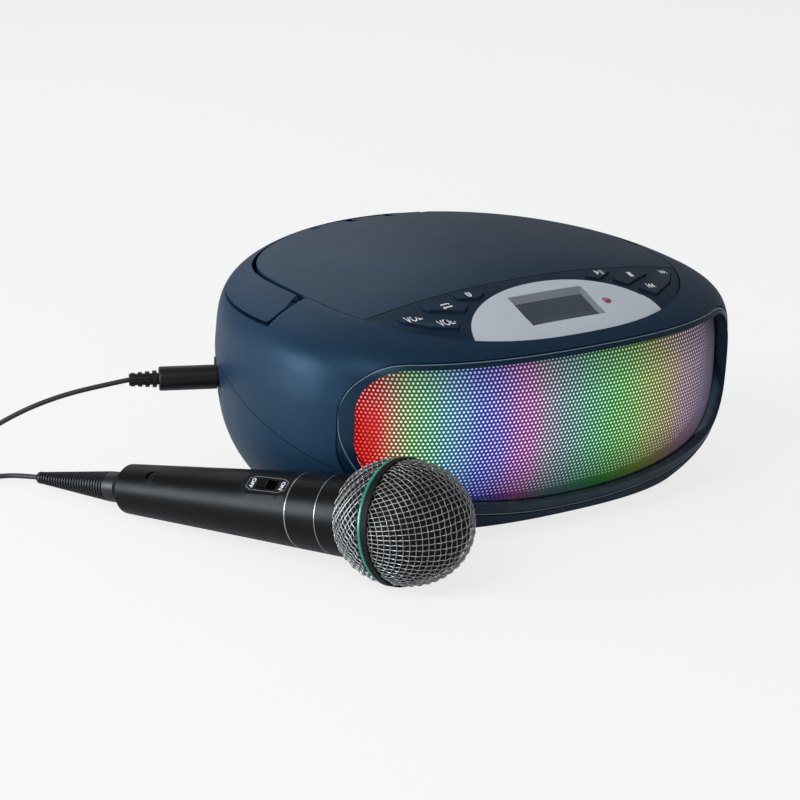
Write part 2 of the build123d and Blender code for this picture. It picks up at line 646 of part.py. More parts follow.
def post_places(name, outline):
    """Where a key's posts stand: one at its middle, or one near each end of a rocker."""
    x, y = middle(outline)
    if name not in ROCKERS:
        return [(x, y)]
    dx, dy = ROCKERS[name]
    reach = ROCKER_REACH
    return [(x - reach * dx, y - reach * dy), (x + reach * dx, y + reach * dy)]


# Unit directions along the two rockers, from one end to the other
ROCKERS = {"volume_key": (0.81, -0.586), "skip_key": (0.78, 0.626)}
ROCKER_REACH = 8.0
PIVOT_RADIUS, PIVOT_LENGTH, PIVOT_DROP = 1.2, 7.0, 6.0


def pivot_place(name):
    """Where a rocker's pivot lies: under the middle of the key, across its length."""
    x, y = middle(KEYS[name])
    dx, dy = ROCKERS[name]
    return Plane(origin=(x, y, panel_height(x, y) - PIVOT_DROP), x_dir=(dx, dy, 0), z_dir=(-dy, dx, 0))


for name, outline in KEYS.items():
    with BuildPart() as key:
        add(Location((0, 0, KEY_RISE)) * panel_outer)
        add(key_prism(outline), mode=Mode.INTERSECT)
        add(Location((0, 0, -KEY_DEPTH)) * panel_outer, mode=Mode.SUBTRACT)
        with BuildPart(mode=Mode.PRIVATE) as flange:
            add(Location((0, 0, 0.5 - KEY_DEPTH)) * panel_outer)
            add(key_prism(outline, KEY_FLANGE), mode=Mode.INTERSECT)
            add(Location((0, 0, -0.5 - KEY_DEPTH)) * panel_outer, mode=Mode.SUBTRACT)
        add(flange.part)
        for x, y in post_places(name, outline):
            with Locations((x, y, panel_height(x, y) - 1.0)):
                Cylinder(
                    POST_RADIUS,
                    panel_height(x, y) - 1.0 - KEY_BOARD_Z - 1.6 - SWITCH_HEIGHT,
                    align=(Align.CENTER, Align.CENTER, Align.MAX),
                )
        if name in ROCKERS:
            with Locations(pivot_place(name)):
                Cylinder(PIVOT_RADIUS, PIVOT_LENGTH)
    finish(key.part, name)

with BuildPart() as key_board:
    with BuildSketch(Plane(origin=(0, -68.0, KEY_BOARD_Z))):
        RectangleRounded(150, 21, 8)
    extrude(amount=1.6)
    for name, outline in KEYS.items():
        for x, y in post_places(name, outline):
            with Locations((x, y, KEY_BOARD_Z + 1.6)):
                Cylinder(2.4, SWITCH_HEIGHT - KEY_TRAVEL - 0.3, align=(Align.CENTER, Align.CENTER, Align.MIN))
    # half-open saddles that carry the rockers' pivots
    for name in ROCKERS:
        place = pivot_place(name)
        top = place.origin.Z - 0.3
        with BuildPart(mode=Mode.PRIVATE) as saddle:
            with Locations(place.offset(2.0)):
                Box(4.4, 30.0, 3.0)
            add(block(-150, 150, -150, 150, KEY_BOARD_Z + 1.0, top), mode=Mode.INTERSECT)
        add(saddle.part)
        with Locations(place):
            Cylinder(PIVOT_RADIUS + 0.05, 20.0, mode=Mode.SUBTRACT)
    # the front corners follow the case, clear of the light diffuser
    add(case_form(FRAME_BACK + 1.7), mode=Mode.INTERSECT)
finish(key_board.part, "key_board")

# ---------------------------------------------------------------- disc lid and its hinge
BARREL_X, BARREL_LENGTH, BARREL_RADIUS = 22.0, 16.8, 2.4
LATCH_X, LATCH_Y = 51.0, -47.0
with BuildPart() as disc_lid:
    add(outer_form)
    add(deck_prism(-SEAM, 60, 140), mode=Mode.INTERSECT)
    add(block(-150, 150, -150, LID_FRONT_Y, 60, 140), mode=Mode.SUBTRACT)
    add(inner_form, mode=Mode.SUBTRACT)
    # notches that let the fixed hinge ears through
    for ear_x, ear_width in HINGE_EARS:
        add(
            block(ear_x - ear_width / 2 - 0.5, ear_x + ear_width / 2 + 0.5, 73.4, 90, 90, 140),
            mode=Mode.SUBTRACT,
        )
    for side in (-1, 1):
        with Locations(Location((side * BARREL_X, LID_HINGE[1], LID_HINGE[2]), (0, 90, 0))):
            Cylinder(BARREL_RADIUS, BARREL_LENGTH)
            Cylinder(HINGE_PIN_RADIUS + 0.05, BARREL_LENGTH + 2, mode=Mode.SUBTRACT)
    # cup over the disc that carries the clamper
    with BuildSketch(Plane(origin=(DISC_X, DISC_Y, 98.0))):
        Circle(15.0)
        Circle(12.6, mode=Mode.SUBTRACT)
    extrude(amount=surface_z(DISC_X, DISC_Y) - 98.0 - WALL / 2)
    with BuildSketch(Plane(origin=(DISC_X, DISC_Y, 98.0))):
        Circle(15.0)
        Circle(9.4, mode=Mode.SUBTRACT)
    extrude(amount=1.4)
    # latch tongue with its nib
    tongue_top = surface_z(LATCH_X, LATCH_Y - 3) - 1.0
    with Locations((LATCH_X, LATCH_Y, 95.0)):
        Box(2.0, 6.0, tongue_top - 95.0, align=(Align.CENTER, Align.CENTER, Align.MIN))
    with Locations((LATCH_X + 1.0, LATCH_Y, 95.0)):
        Box(1.4, 6.0, 1.6, align=(Align.MIN, Align.CENTER, Align.MIN))
finish(disc_lid.part, "disc_lid")

with BuildPart() as hinge_pins:
    for side in (-1, 1):
        with Locations(Location((side * BARREL_X, LID_HINGE[1], LID_HINGE[2]), (0, 90, 0))):
            Cylinder(HINGE_PIN_RADIUS, 25.0)
finish(hinge_pins.part, "hinge_pins")

# Spring clip on the shelf that the lid's tongue snaps into
with BuildPart() as lid_latch:
    with Locations((LATCH_X + 7.0, LATCH_Y, SHELF_Z)):
        Box(8.0, 6.0, 0.8, align=(Align.CENTER, Align.CENTER, Align.MIN))
    with Locations((LATCH_X + 3.4, LATCH_Y, SHELF_Z)):
        Box(0.8, 6.0, 5.6, align=(Align.CENTER, Align.CENTER, Align.MIN))
finish(lid_latch.part, "lid_latch")

# Clamper: a flanged puck that hangs in the lid's cup and holds the disc on its table
with BuildPart() as disc_clamper:
    with BuildSketch(Plane.XZ):
        with BuildLine():
            Polyline(
                (0, DISC_PLANE_Z + 1.6),
                (14.5, DISC_PLANE_Z + 1.6),
                (14.5, 95.6),
                (9.0, 96.2),
                (9.0, 99.8),
                (11.8, 99.8),
                (11.8, 101.2),
                (0, 101.2),
                close=True,
            )
        make_face()
    revolve(axis=Axis.Z)
finish(Location((DISC_X, DISC_Y, 0)) * disc_clamper.part, "disc_clamper")

# ---------------------------------------------------------------- disc well and mechanism
CHASSIS_Z, CHASSIS_THICK = 76.0, 2.0
CHASSIS_Y, CHASSIS_WIDTH, CHASSIS_LENGTH = -8.0, 92.0, 100.0
DAMPERS = [(-38.0, -14.0), (38.0, -14.0), (-38.0, 34.0), (38.0, 34.0)]
DAMPER_RADIUS, DAMPER_NECK, DAMPER_POST = 5.0, 3.5, 2.0
TURNTABLE_RADIUS = 15.0

with BuildPart() as disc_well:
    with Locations((DISC_X, DISC_Y, SHELF_Z)):
        Cylinder(WELL_RADIUS + 5, 1.2, align=(Align.CENTER, Align.CENTER, Align.MIN))
        Cylinder(WELL_RADIUS + 1.6, SHELF_Z - WELL_FLOOR_Z + 1.6, align=(Align.CENTER, Align.CENTER, Align.MAX))
    with Locations((DISC_X, DISC_Y, WELL_FLOOR_Z)):
        Cylinder(WELL_RADIUS, 20, align=(Align.CENTER, Align.CENTER, Align.MIN), mode=Mode.SUBTRACT)
        Cylinder(TURNTABLE_RADIUS + 3.5, 6, mode=Mode.SUBTRACT)
    # slot for the pickup, and room behind the rim for the lid's hinge ears
    with BuildSketch(Plane(origin=(DISC_X, DISC_Y - 36.0, WELL_FLOOR_Z - 3))):
        RectangleRounded(25, 54, 3)
    extrude(amount=3.2, mode=Mode.SUBTRACT)
    add(block(-16, 16, LID_HINGE[1] - 3.0, 90, SHELF_Z, SHELF_Z + 3), mode=Mode.SUBTRACT)
    with Locations(*[(x, y, CHASSIS_Z - 2.0) for x, y in DAMPERS]):
        Cylinder(DAMPER_POST, WELL_FLOOR_Z - 1.0 - CHASSIS_Z + 2.0, align=(Align.CENTER, Align.CENTER, Align.MIN))
finish(disc_well.part, "disc_well")

ROD_RADIUS, ROD_X, ROD_Z = 1.5, 24.0, CHASSIS_Z + 5.0
ROD_FRONT_Y, ROD_REAR_Y = -55.0, 14.0
GEAR_RADIUS, GEAR_TEETH = 6.5, 20
RACK_X = 32.5
GEAR_X, GEAR_Y = RACK_X + GEAR_RADIUS + 0.35, -33.0
with BuildPart() as mechanism_chassis:
    with BuildSketch(Plane(origin=(DISC_X, CHASSIS_Y, CHASSIS_Z))):
        RectangleRounded(CHASSIS_WIDTH, CHASSIS_LENGTH, 6)
        with Locations((0, DISC_Y - CHASSIS_Y)):
            Circle(8.0, mode=Mode.SUBTRACT)
        with Locations(*[(x, y - CHASSIS_Y) for x, y in DAMPERS]):
            Circle(DAMPER_NECK, mode=Mode.SUBTRACT)
        with Locations((GEAR_X, GEAR_Y - CHASSIS_Y)):
            Circle(1.4, mode=Mode.SUBTRACT)
    extrude(amount=CHASSIS_THICK)
    # blocks that hold the guide rods
    with Locations(*[(side * ROD_X, y, CHASSIS_Z + 1) for side in (-1, 1) for y in (ROD_FRONT_Y, ROD_REAR_Y)]):
        Box(7, 4, 7, align=(Align.CENTER, Align.CENTER, Align.MIN))
    for side in (-1, 1):
        with Locations(Location((side * ROD_X, (ROD_FRONT_Y + ROD_REAR_Y) / 2, ROD_Z), (90, 0, 0))):
            Cylinder(ROD_RADIUS, 90, mode=Mode.SUBTRACT)
finish(mechanism_chassis.part, "mechanism_chassis")

with BuildPart() as rubber_dampers:
    with Locations(*[(x, y, CHASSIS_Z) for x, y in DAMPERS]):
        Cylinder(DAMPER_RADIUS, 1.8, align=(Align.CENTER, Align.CENTER, Align.MAX))
        Cylinder(DAMPER_NECK, CHASSIS_THICK, align=(Align.CENTER, Align.CENTER, Align.MIN))
    with Locations(*[(x, y, CHASSIS_Z + CHASSIS_THICK) for x, y in DAMPERS]):
        Cylinder(DAMPER_RADIUS, 1.8, align=(Align.CENTER, Align.CENTER, Align.MIN))
        Cylinder(DAMPER_POST, 20, mode=Mode.SUBTRACT)
finish(rubber_dampers.part, "rubber_dampers")

SHAFT_RADIUS = 1.0
with BuildPart() as spindle_motor:
    with Locations((DISC_X, DISC_Y, CHASSIS_Z)):
        Cylinder(12.0, 9.0, align=(Align.CENTER, Align.CENTER, Align.MAX))
        Cylinder(6.5, 3.2, align=(Align.CENTER, Align.CENTER, Align.MIN))
        Cylinder(SHAFT_RADIUS + 0.05, 8, mode=Mode.SUBTRACT)
finish(spindle_motor.part, "spindle_motor")

# Turntable with its shaft and centring cone
with BuildPart() as turntable:
    with BuildSketch(Plane.XZ):
        with BuildLine():
            Polyline(
                (0, CHASSIS_Z - 3.5),
                (SHAFT_RADIUS, CHASSIS_Z - 3.5),
                (SHAFT_RADIUS, CHASSIS_Z + 5.0),
                (6.0, CHASSIS_Z + 5.0),
                (6.0, DISC_PLANE_Z - 2.4),
                (TURNTABLE_RADIUS, DISC_PLANE_Z - 2.0),
                (TURNTABLE_RADIUS, DISC_PLANE_Z),
                (7.4, DISC_PLANE_Z),
                (7.0, DISC_PLANE_Z + 1.0),
                (0, DISC_PLANE_Z + 1.0),
                close=True,
            )
        make_face()
    revolve(axis=Axis.Z)
finish(Location((DISC_X, DISC_Y, 0)) * turntable.part, "turntable")

with BuildPart() as guide_rods:
    for side in (-1, 1):
        with Locations(Location((side * ROD_X, (ROD_FRONT_Y + ROD_REAR_Y) / 2, ROD_Z), (90, 0, 0))):
            Cylinder(ROD_RADIUS, ROD_REAR_Y - ROD_FRONT_Y + 4)
finish(guide_rods.part, "guide_rods")

# Pickup sled at its innermost place, with the objective lens and the rack that moves it
SLED_Y, SLED_TRAVEL = DISC_Y - 24.0, 34.0
with BuildPart() as pickup_sled:
    with Locations((DISC_X, SLED_Y, CHASSIS_Z + 2.5)):
        Box(40, 14, 6.5, align=(Align.CENTER, Align.CENTER, Align.MIN))
    for side in (-1, 1):
        with Locations((side * ROD_X, SLED_Y, ROD_Z)):
            Box(11, 10, 5.0)
        with Locations(Location((side * ROD_X, SLED_Y, ROD_Z), (90, 0, 0))):
            Cylinder(ROD_RADIUS + 0.05, 20, mode=Mode.SUBTRACT)
    with Locations((DISC_X, SLED_Y, CHASSIS_Z + 9.0)):
        Cylinder(4.2, 1.6, align=(Align.CENTER, Align.CENTER, Align.MIN))
        Sphere(2.6)
    with Locations((RACK_X - 1.75, SLED_Y - 5.0, ROD_Z + 1.2)):
        Box(3.5, 40.0, 2.0)
finish(pickup_sled.part, "pickup_sled")

# Gear on the sled motor's shaft that drives the rack
with BuildPart() as sled_gear:
    with BuildSketch(Plane(origin=(GEAR_X, GEAR_Y, ROD_Z + 0.3))):
        Circle(GEAR_RADIUS - 1.0)
        with PolarLocations(GEAR_RADIUS - 0.6, GEAR_TEETH):
            Rectangle(1.2, 0.9)
        Circle(SHAFT_RADIUS + 0.05, mode=Mode.SUBTRACT)
    extrude(amount=1.8)
finish(sled_gear.part, "sled_gear")

with BuildPart() as sled_motor:
    with Locations((GEAR_X, GEAR_Y, CHASSIS_Z)):
        Cylinder(7.0, 11, align=(Align.CENTER, Align.CENTER, Align.MAX))
        Cylinder(SHAFT_RADIUS, 8.0, align=(Align.CENTER, Align.CENTER, Align.MIN))
finish(sled_motor.part, "sled_motor")

# ---------------------------------------------------------------- electronics and sockets
with BuildPart() as main_board:
    with BuildSketch(Plane(origin=(0, 18, MAIN_BOARD_Z))):
        RectangleRounded(140, 64, 3)
    extrude(amount=1.6)
    for x, y, width, depth, height in ((-20, 22, 18, 18, 2.4), (22, 30, 12, 12, 2.0), (44, 6, 24, 10, 14)):
        with Locations((x, y, MAIN_BOARD_Z + 1.6)):
            Box(width, depth, height, align=(Align.CENTER, Align.CENTER, Align.MIN))
    with Locations(*[(x, 38, MAIN_BOARD_Z + 1.6) for x in (-52, -36, 48, 60)]):
        Cylinder(5.0, 12, align=(Align.CENTER, Align.CENTER, Align.MIN))
finish(main_board.part, "main_board")

with BuildPart() as power_transformer:
    with Locations((34, 66, FLOOR_Z + 2.1)):
        Box(26, 16, 28, align=(Align.CENTER, Align.CENTER, Align.MIN))
    with Locations((34, 66, FLOOR_Z + 5)):
        Box(16, 24, 20, align=(Align.CENTER, Align.CENTER, Align.MIN))
finish(power_transformer.part, "power_transformer")

SOCKET_DEPTH = 13.0
with BuildPart() as mains_inlet:
    with BuildSketch(Plane(origin=(INLET_X, 86, INLET_Z), x_dir=(-1, 0, 0), z_dir=(0, 1, 0))):
        Rectangle(INLET_WIDTH, INLET_HEIGHT)
    extrude(amount=INLET_FACE_Y - 86)
    with BuildSketch(Plane(origin=(INLET_X, INLET_FACE_Y, INLET_Z), x_dir=(-1, 0, 0), z_dir=(0, 1, 0))):
        SlotOverall(17.0, 8.6)
    extrude(amount=-SOCKET_DEPTH, mode=Mode.SUBTRACT)
    for side in (-1, 1):
        with Locations(Location((INLET_X + side * 4.3, INLET_FACE_Y - SOCKET_DEPTH, INLET_Z), (-90, 0, 0))):
            Cylinder(1.2, 9.0, align=(Align.CENTER, Align.CENTER, Align.MIN))
finish(mains_inlet.part, "mains_inlet")

# Jack plate: a rounded window in the left wall, filled flush, with two microphone sockets
BUSHING_RADIUS, JACK_DEPTH = 5.0, 30.0
with BuildPart() as jack_plate:
    add(frame_form)
    with BuildPart(mode=Mode.PRIVATE) as plate_prism:
        with BuildSketch(jack_plane.offset(-12)):
            RectangleRounded(37.0, 18.0, 7.5)
        extrude(amount=24)
    add(plate_prism.part, mode=Mode.INTERSECT)
    add(inner_form, mode=Mode.SUBTRACT)
    with BuildSketch(jack_plane.offset(-12)):
        with Locations((-JACK_PITCH / 2, 0), (JACK_PITCH / 2, 0)):
            Circle(BUSHING_RADIUS)
    extrude(amount=24, mode=Mode.SUBTRACT)
finish(jack_plate.part, "jack_plate")

with BuildPart() as mic_jacks:
    with BuildSketch(jack_plane):
        with Locations((-JACK_PITCH / 2, 0), (JACK_PITCH / 2, 0)):
            Circle(BUSHING_RADIUS)
    extrude(amount=-JACK_DEPTH)
    with BuildSketch(jack_plane):
        with Locations((-JACK_PITCH / 2, 0), (JACK_PITCH / 2, 0)):
            Circle(JACK_RADIUS)
    extrude(amount=-JACK_DEPTH + 1.5, mode=Mode.SUBTRACT)
finish(mic_jacks.part, "mic_jacks")

# Plug in the front socket: its tip and body, then the ribbed cord relief
SHANK_RADIUS, SHANK_LENGTH = 3.175, 27.0
PLUG_RADIUS, RELIEF_RADIUS = 5.75, 4.0
plug_place = Location(Plane(origin=jack_front, x_dir=JACK_ALONG, z_dir=JACK_OUT))
with BuildPart() as mic_plug:
    Cylinder(SHANK_RADIUS, SHANK_LENGTH, align=(Align.CENTER, Align.CENTER, Align.MAX))
    with Locations((0, 0, 0.3)):
        Cylinder(PLUG_RADIUS, PLUG_LENGTH - 0.3, align=(Align.CENTER, Align.CENTER, Align.MIN))
    with Locations((0, 0, -0.5)):
        Cylinder(SHANK_RADIUS, 1.0, align=(Align.CENTER, Align.CENTER, Align.MIN))
    chamfer(mic_plug.edges().group_by(Axis.Z)[0], 1.4)
    fillet(mic_plug.edges().group_by(Axis.Z)[-1], 0.8)
finish(plug_place * mic_plug.part, "mic_plug")

with BuildPart() as plug_relief:
    with Locations((0, 0, PLUG_LENGTH)):
        Cylinder(RELIEF_RADIUS - 1.2, RELIEF_LENGTH, align=(Align.CENTER, Align.CENTER, Align.MIN))
    for rib in range(4):
        with Locations((0, 0, PLUG_LENGTH + 1.0 + 3.4 * rib)):
            Cylinder(RELIEF_RADIUS - 0.25 * rib, 2.0, align=(Align.CENTER, Align.CENTER, Align.MIN))
finish(plug_place * plug_relief.part, "plug_relief")

# ---------------------------------------------------------------- microphone
mic_up = (Vector(0, 0, 1) - MIC_AXIS * MIC_AXIS.Z).normalized()
mic_side = MIC_AXIS.cross(mic_up)
SWITCH_TURN = 36.0
switch_out = mic_up * cos(radians(SWITCH_TURN)) + mic_side * sin(radians(SWITCH_TURN))
mic_place = Location(Plane(origin=MIC_TAIL, x_dir=switch_out, z_dir=MIC_AXIS))
HANDLE_END, COLLAR_END, NECK_END = 106.5, 124.0, 135.0
MIC_WALL = 2.0
SWITCH_T, SWITCH_LENGTH, SWITCH_WIDTH = 92.0, 28.6, 10.4
PLATE_TOP, PLATE_THICK = 16.2, 1.6
SLOT_LENGTH, SLOT_WIDTH = 11.0, 5.0
SLIDER_LENGTH, SLIDER_WIDTH, SLIDER_TRAVEL = 6.0, 4.4, 4.2
MIC_SCREW_T = 20.0


def mic_radius(t):
    """Outer radius of the tapered handle at a distance from its tail."""
    return MIC_TAIL_RADIUS + (MIC_NECK_RADIUS - MIC_TAIL_RADIUS) * t / NECK_END


def turned_ring(profile):
    """Solid of revolution about Z of a closed profile of (radius, height) points."""
    with BuildPart() as ring:
        with BuildSketch(Plane.XZ):
            with BuildLine():
                Polyline(*profile, close=True)
            make_face()
        revolve(axis=Axis.Z)
    return ring.part


switch_plane = Plane(origin=(PLATE_TOP, 0, SWITCH_T), x_dir=(0, 0, 1), z_dir=(1, 0, 0))
with BuildPart() as mic_body:
    add(
        turned_ring(
            [
                (4.4, -5.5),
                (7.0, -5.5),
                (MIC_TAIL_RADIUS, 0),
                (mic_radius(HANDLE_END), HANDLE_END),
                (mic_radius(HANDLE_END) - MIC_WALL, HANDLE_END),
                (MIC_TAIL_RADIUS - MIC_WALL, 1.0),
                (4.4, -2.5),
            ]
        )
    )
    # pocket for the switch plate
    with BuildSketch(switch_plane):
        SlotOverall(SWITCH_LENGTH, SWITCH_WIDTH)
    extrude(amount=6, mode=Mode.SUBTRACT)
    with BuildSketch(switch_plane.offset(-PLATE_THICK)):
        SlotOverall(SWITCH_LENGTH, SWITCH_WIDTH)
    extrude(amount=PLATE_THICK, mode=Mode.SUBTRACT)
    with Locations((PLATE_TOP - 4, 0, SWITCH_T)):
        Box(8, SLOT_WIDTH + 3.4, SLOT_LENGTH + 3.4, mode=Mode.SUBTRACT)
    # recessed screw that closes the handle
    with Locations(Location((MIC_TAIL_RADIUS, 0, MIC_SCREW_T), (0, 90, 0))):
        Cylinder(2.6, 6, mode=Mode.SUBTRACT)
finish(mic_place * mic_body.part, "mic_body")

with BuildPart() as mic_screw:
    with Locations(Location((MIC_TAIL_RADIUS - 2.4, 0, MIC_SCREW_T), (0, 90, 0))):
        Cylinder(2.6, 2.0, align=(Align.CENTER, Align.CENTER, Align.MIN))
        Cylinder(1.0, 9.0, align=(Align.CENTER, Align.CENTER, Align.MAX))
    with Locations((MIC_TAIL_RADIUS, 0, MIC_SCREW_T)):
        Box(1.6, 3.6, 0.7, mode=Mode.SUBTRACT)
        Box(1.6, 0.7, 3.6, mode=Mode.SUBTRACT)
finish(mic_place * mic_screw.part, "mic_screw")

with BuildPart() as mic_switch_plate:
    with BuildSketch(switch_plane.offset(-PLATE_THICK)):
        SlotOverall(SWITCH_LENGTH, SWITCH_WIDTH)
        Rectangle(SLOT_LENGTH, SLOT_WIDTH, mode=Mode.SUBTRACT)
    extrude(amount=PLATE_THICK)
finish(mic_place * mic_switch_plate.part, "mic_switch_plate")

with BuildPart() as mic_switch:
    slider_start = SWITCH_T - SLIDER_TRAVEL / 2
    with Locations((PLATE_TOP - PLATE_THICK - 0.4, 0, slider_start)):
        Box(PLATE_THICK + 1.6, SLIDER_WIDTH, SLIDER_LENGTH, align=(Align.MIN, Align.CENTER, Align.CENTER))
    with Locations(*[(PLATE_TOP + 1.2, 0, slider_start + step * 1.5) for step in (-1, 0, 1)]):
        Box(0.8, SLIDER_WIDTH, 0.6, mode=Mode.SUBTRACT)
    with Locations((PLATE_TOP - PLATE_THICK - 0.4, 0, slider_start)):
        Box(1.2, SLIDER_WIDTH + 2.4, SLIDER_LENGTH + 2, align=(Align.MAX, Align.CENTER, Align.CENTER))
finish(mic_place * mic_switch.part, "mic_switch")

with BuildPart() as mic_collar:
    add(
        turned_ring(
            [
                (mic_radius(HANDLE_END) - MIC_WALL, HANDLE_END),
                (mic_radius(HANDLE_END), HANDLE_END),
                (mic_radius(COLLAR_END), COLLAR_END),
                (mic_radius(COLLAR_END) - MIC_WALL, COLLAR_END),
            ]
        )
    )
finish(mic_place * mic_collar.part, "mic_collar")

with BuildPart() as mic_neck:
    add(
        turned_ring(
            [
                (mic_radius(COLLAR_END) - MIC_WALL, COLLAR_END),
                (mic_radius(COLLAR_END), COLLAR_END),
                (MIC_NECK_RADIUS, NECK_END),
                (MIC_NECK_RADIUS - MIC_WALL, NECK_END),
            ]
        )
    )
finish(mic_place * mic_neck.part, "mic_neck")

RING_START, RING_END = MIC_LENGTH - 2.5, MIC_LENGTH + 2.5
MESH_THICK = 1.2
with BuildPart() as mic_windscreen_rear:
    add(
        turned_ring(
            [
                (MIC_NECK_RADIUS, NECK_END),
                (22.6, 142.0),
                (25.4, 149.0),
                (26.8, RING_START),
                (26.8 - MESH_THICK, RING_START),
                (25.4 - MESH_THICK, 149.4),
                (22.6 - MESH_THICK, 142.6),
                (MIC_NECK_RADIUS - MESH_THICK, NECK_END),
            ]
        )
    )
finish(mic_place * mic_windscreen_rear.part, "mic_windscreen_rear")

with BuildPart() as mic_ring:
    add(
        turned_ring(
            [
                (25.0, RING_START),
                (27.4, RING_START),
                (MIC_RING_RADIUS, RING_START + 1.0),
                (MIC_RING_RADIUS, RING_END - 1.0),
                (27.4, RING_END),
                (25.0, RING_END),
            ]
        )
    )
finish(mic_place * mic_ring.part, "mic_ring")

DOME_STEPS = 10
dome_outer = [
    (26.8 * cos(radians(90 * k / DOME_STEPS)), RING_END + (MIC_HEAD_LENGTH - 2.5) * sin(radians(90 * k / DOME_STEPS)))
    for k in range(DOME_STEPS + 1)
]
dome_inner = [
    (25.6 * cos(radians(90 * k / DOME_STEPS)), RING_END + (MIC_HEAD_LENGTH - 3.7) * sin(radians(90 * k / DOME_STEPS)))
    for k in range(DOME_STEPS + 1)
]
with BuildPart() as mic_windscreen_front:
    with BuildSketch(Plane.XZ):
        with BuildLine():
            Spline(*dome_outer)
            Line(dome_outer[-1], dome_inner[-1])
            Spline(*dome_inner)
            Line(dome_inner[0], dome_outer[0])
        make_face()
    revolve(axis=Axis.Z)
finish(mic_place * mic_windscreen_front.part, "mic_windscreen_front")

with BuildPart() as mic_capsule:
    with Locations((0, 0, COLLAR_END)):
        Cylinder(mic_radius(COLLAR_END) - MIC_WALL, 3.0, align=(Align.CENTER, Align.CENTER, Align.MIN))
        Cylinder(11.0, 34.0, align=(Align.CENTER, Align.CENTER, Align.MIN))
finish(mic_place * mic_capsule.part, "mic_capsule")

BOOT_START, BOOT_END = -5.5, -BOOT_LENGTH
with BuildPart() as mic_boot:
    add(
        turned_ring(
            [
                (0, -2.0),
                (4.4, -2.0),
                (4.4, BOOT_START),
                (6.25, BOOT_START),
                (5.6, -12.0),
                (4.9, -36.0),
                (2.5, BOOT_END),
                (0, BOOT_END),
            ]
        )
    )
    for rib in range(8):
        height = -14.0 - 5.2 * rib
        radius = 6.3 - 0.42 * rib
        with Locations((0, 0, height)):
            Cylinder(radius, 2.4)
finish(mic_place * mic_boot.part, "mic_boot")

# ---------------------------------------------------------------- cord between plug and microphone
CORD_Z = CORD_DIAMETER / 2
cord_exit = jack_front + JACK_OUT * (PLUG_LENGTH + RELIEF_LENGTH)
boot_end = MIC_TAIL - MIC_AXIS * (BOOT_LENGTH + 0.3)
plug_route = [
    tuple(cord_exit),
    (-163.7, 67.7, 52.6),
    (-178.0, 74.6, 48.6),
    (-193.0, 81.8, 42.3),
    (-208.2, 89.0, 33.0),
    (-222.4, 95.8, 21.0),
    (-234.4, 101.6, 9.6),
    (-246.2, 108.4, 2.6),
    (-255.6, 118.6, 1.2),
    (-258.3, 131.0, 1.2),
    (-258.3, 142.0, 1.2),
]
boot_route = [
    (-221.7, 142.0, 1.2),
    (-221.6, 130.0, 1.2),
    (-214.2, 119.6, 1.2),
    (-202.4, 114.6, 1.6),
    (-190.8, 109.4, 3.0),
    (-184.6, 100.6, 4.4),
    tuple(boot_end),
]


def bend_radii(points):
    """Radius of the arc at each inner point, from the shorter run beside it."""
    radii = []
    for before, here, after in zip(points, points[1:], points[2:]):
        run_in, run_out = Vector(*here) - Vector(*before), Vector(*after) - Vector(*here)
        turn = radians(run_in.get_angle(run_out))
        radii.append(0.45 * min(run_in.length, run_out.length) / tan(turn / 2))
    return radii


cord_length = 0
with BuildPart() as mic_cord:
    for route in (plug_route, boot_route):
        radii = bend_radii(route)
        print("cord bend radii", [round(radius, 1) for radius in radii])
        with BuildLine():
            path = FilletPolyline(*route, radius=radii)
        cord_length += path.length
        with BuildSketch(Plane(origin=path @ 0, z_dir=path % 0)):
            Circle(CORD_DIAMETER / 2)
        sweep(path=path)
section = pi * CORD_DIAMETER ** 2 / 4
print("cord volume", round(mic_cord.part.volume, 1), "section x length", round(section * cord_length, 1))
coil_length = COIL_TURNS * 2 * pi * COIL_RADIUS
print("cord length, tubes and coil, mm:", round(cord_length), round(coil_length))
finish(mic_cord.part, "mic_cord")

with BuildPart() as mic_cord_coil:
    with Locations((*COIL_CENTRE, 0)):
        Cylinder(COIL_RADIUS + COIL_WIDTH / 2, COIL_HEIGHT, align=(Align.CENTER, Align.CENTER, Align.MIN))
        Cylinder(COIL_RADIUS - COIL_WIDTH / 2, 3 * COIL_HEIGHT, mode=Mode.SUBTRACT)
finish(mic_cord_coil.part, "mic_cord_coil")
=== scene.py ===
# %% [markdown]
# # A table-top karaoke machine with a wired microphone
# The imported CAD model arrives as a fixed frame: every solid is already in its place, in metres.
# This lesson dresses it. Solids whose shape is right keep their mesh and get a finish. Pieces that
# CAD draws too plainly, such as the perforated grille, are built here and stand in for them.

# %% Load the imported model
from math import atan2, copysign, cos, pi, radians, sin, sqrt

import bmesh
import bpy
from mathutils import Matrix, Vector
from mathutils.bvhtree import BVHTree


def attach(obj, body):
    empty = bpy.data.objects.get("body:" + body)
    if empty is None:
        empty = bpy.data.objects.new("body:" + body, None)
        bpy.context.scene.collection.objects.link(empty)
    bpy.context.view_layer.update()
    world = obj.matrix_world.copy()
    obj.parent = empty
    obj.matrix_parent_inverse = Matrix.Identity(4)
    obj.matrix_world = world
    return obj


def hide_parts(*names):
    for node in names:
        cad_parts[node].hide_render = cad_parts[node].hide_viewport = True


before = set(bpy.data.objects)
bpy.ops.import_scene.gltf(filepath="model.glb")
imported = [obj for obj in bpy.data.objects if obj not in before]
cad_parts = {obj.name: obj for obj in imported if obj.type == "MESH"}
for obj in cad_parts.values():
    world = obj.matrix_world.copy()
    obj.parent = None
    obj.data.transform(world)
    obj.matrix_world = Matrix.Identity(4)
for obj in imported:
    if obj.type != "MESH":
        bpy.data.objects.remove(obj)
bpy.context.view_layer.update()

MM = 0.001
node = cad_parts

# %% [markdown]
# ## Camera
# The photograph was taken from the front left with a long lens. A camera object looks along its own
# minus Z, so its matrix is built from three directions: right, up and back.

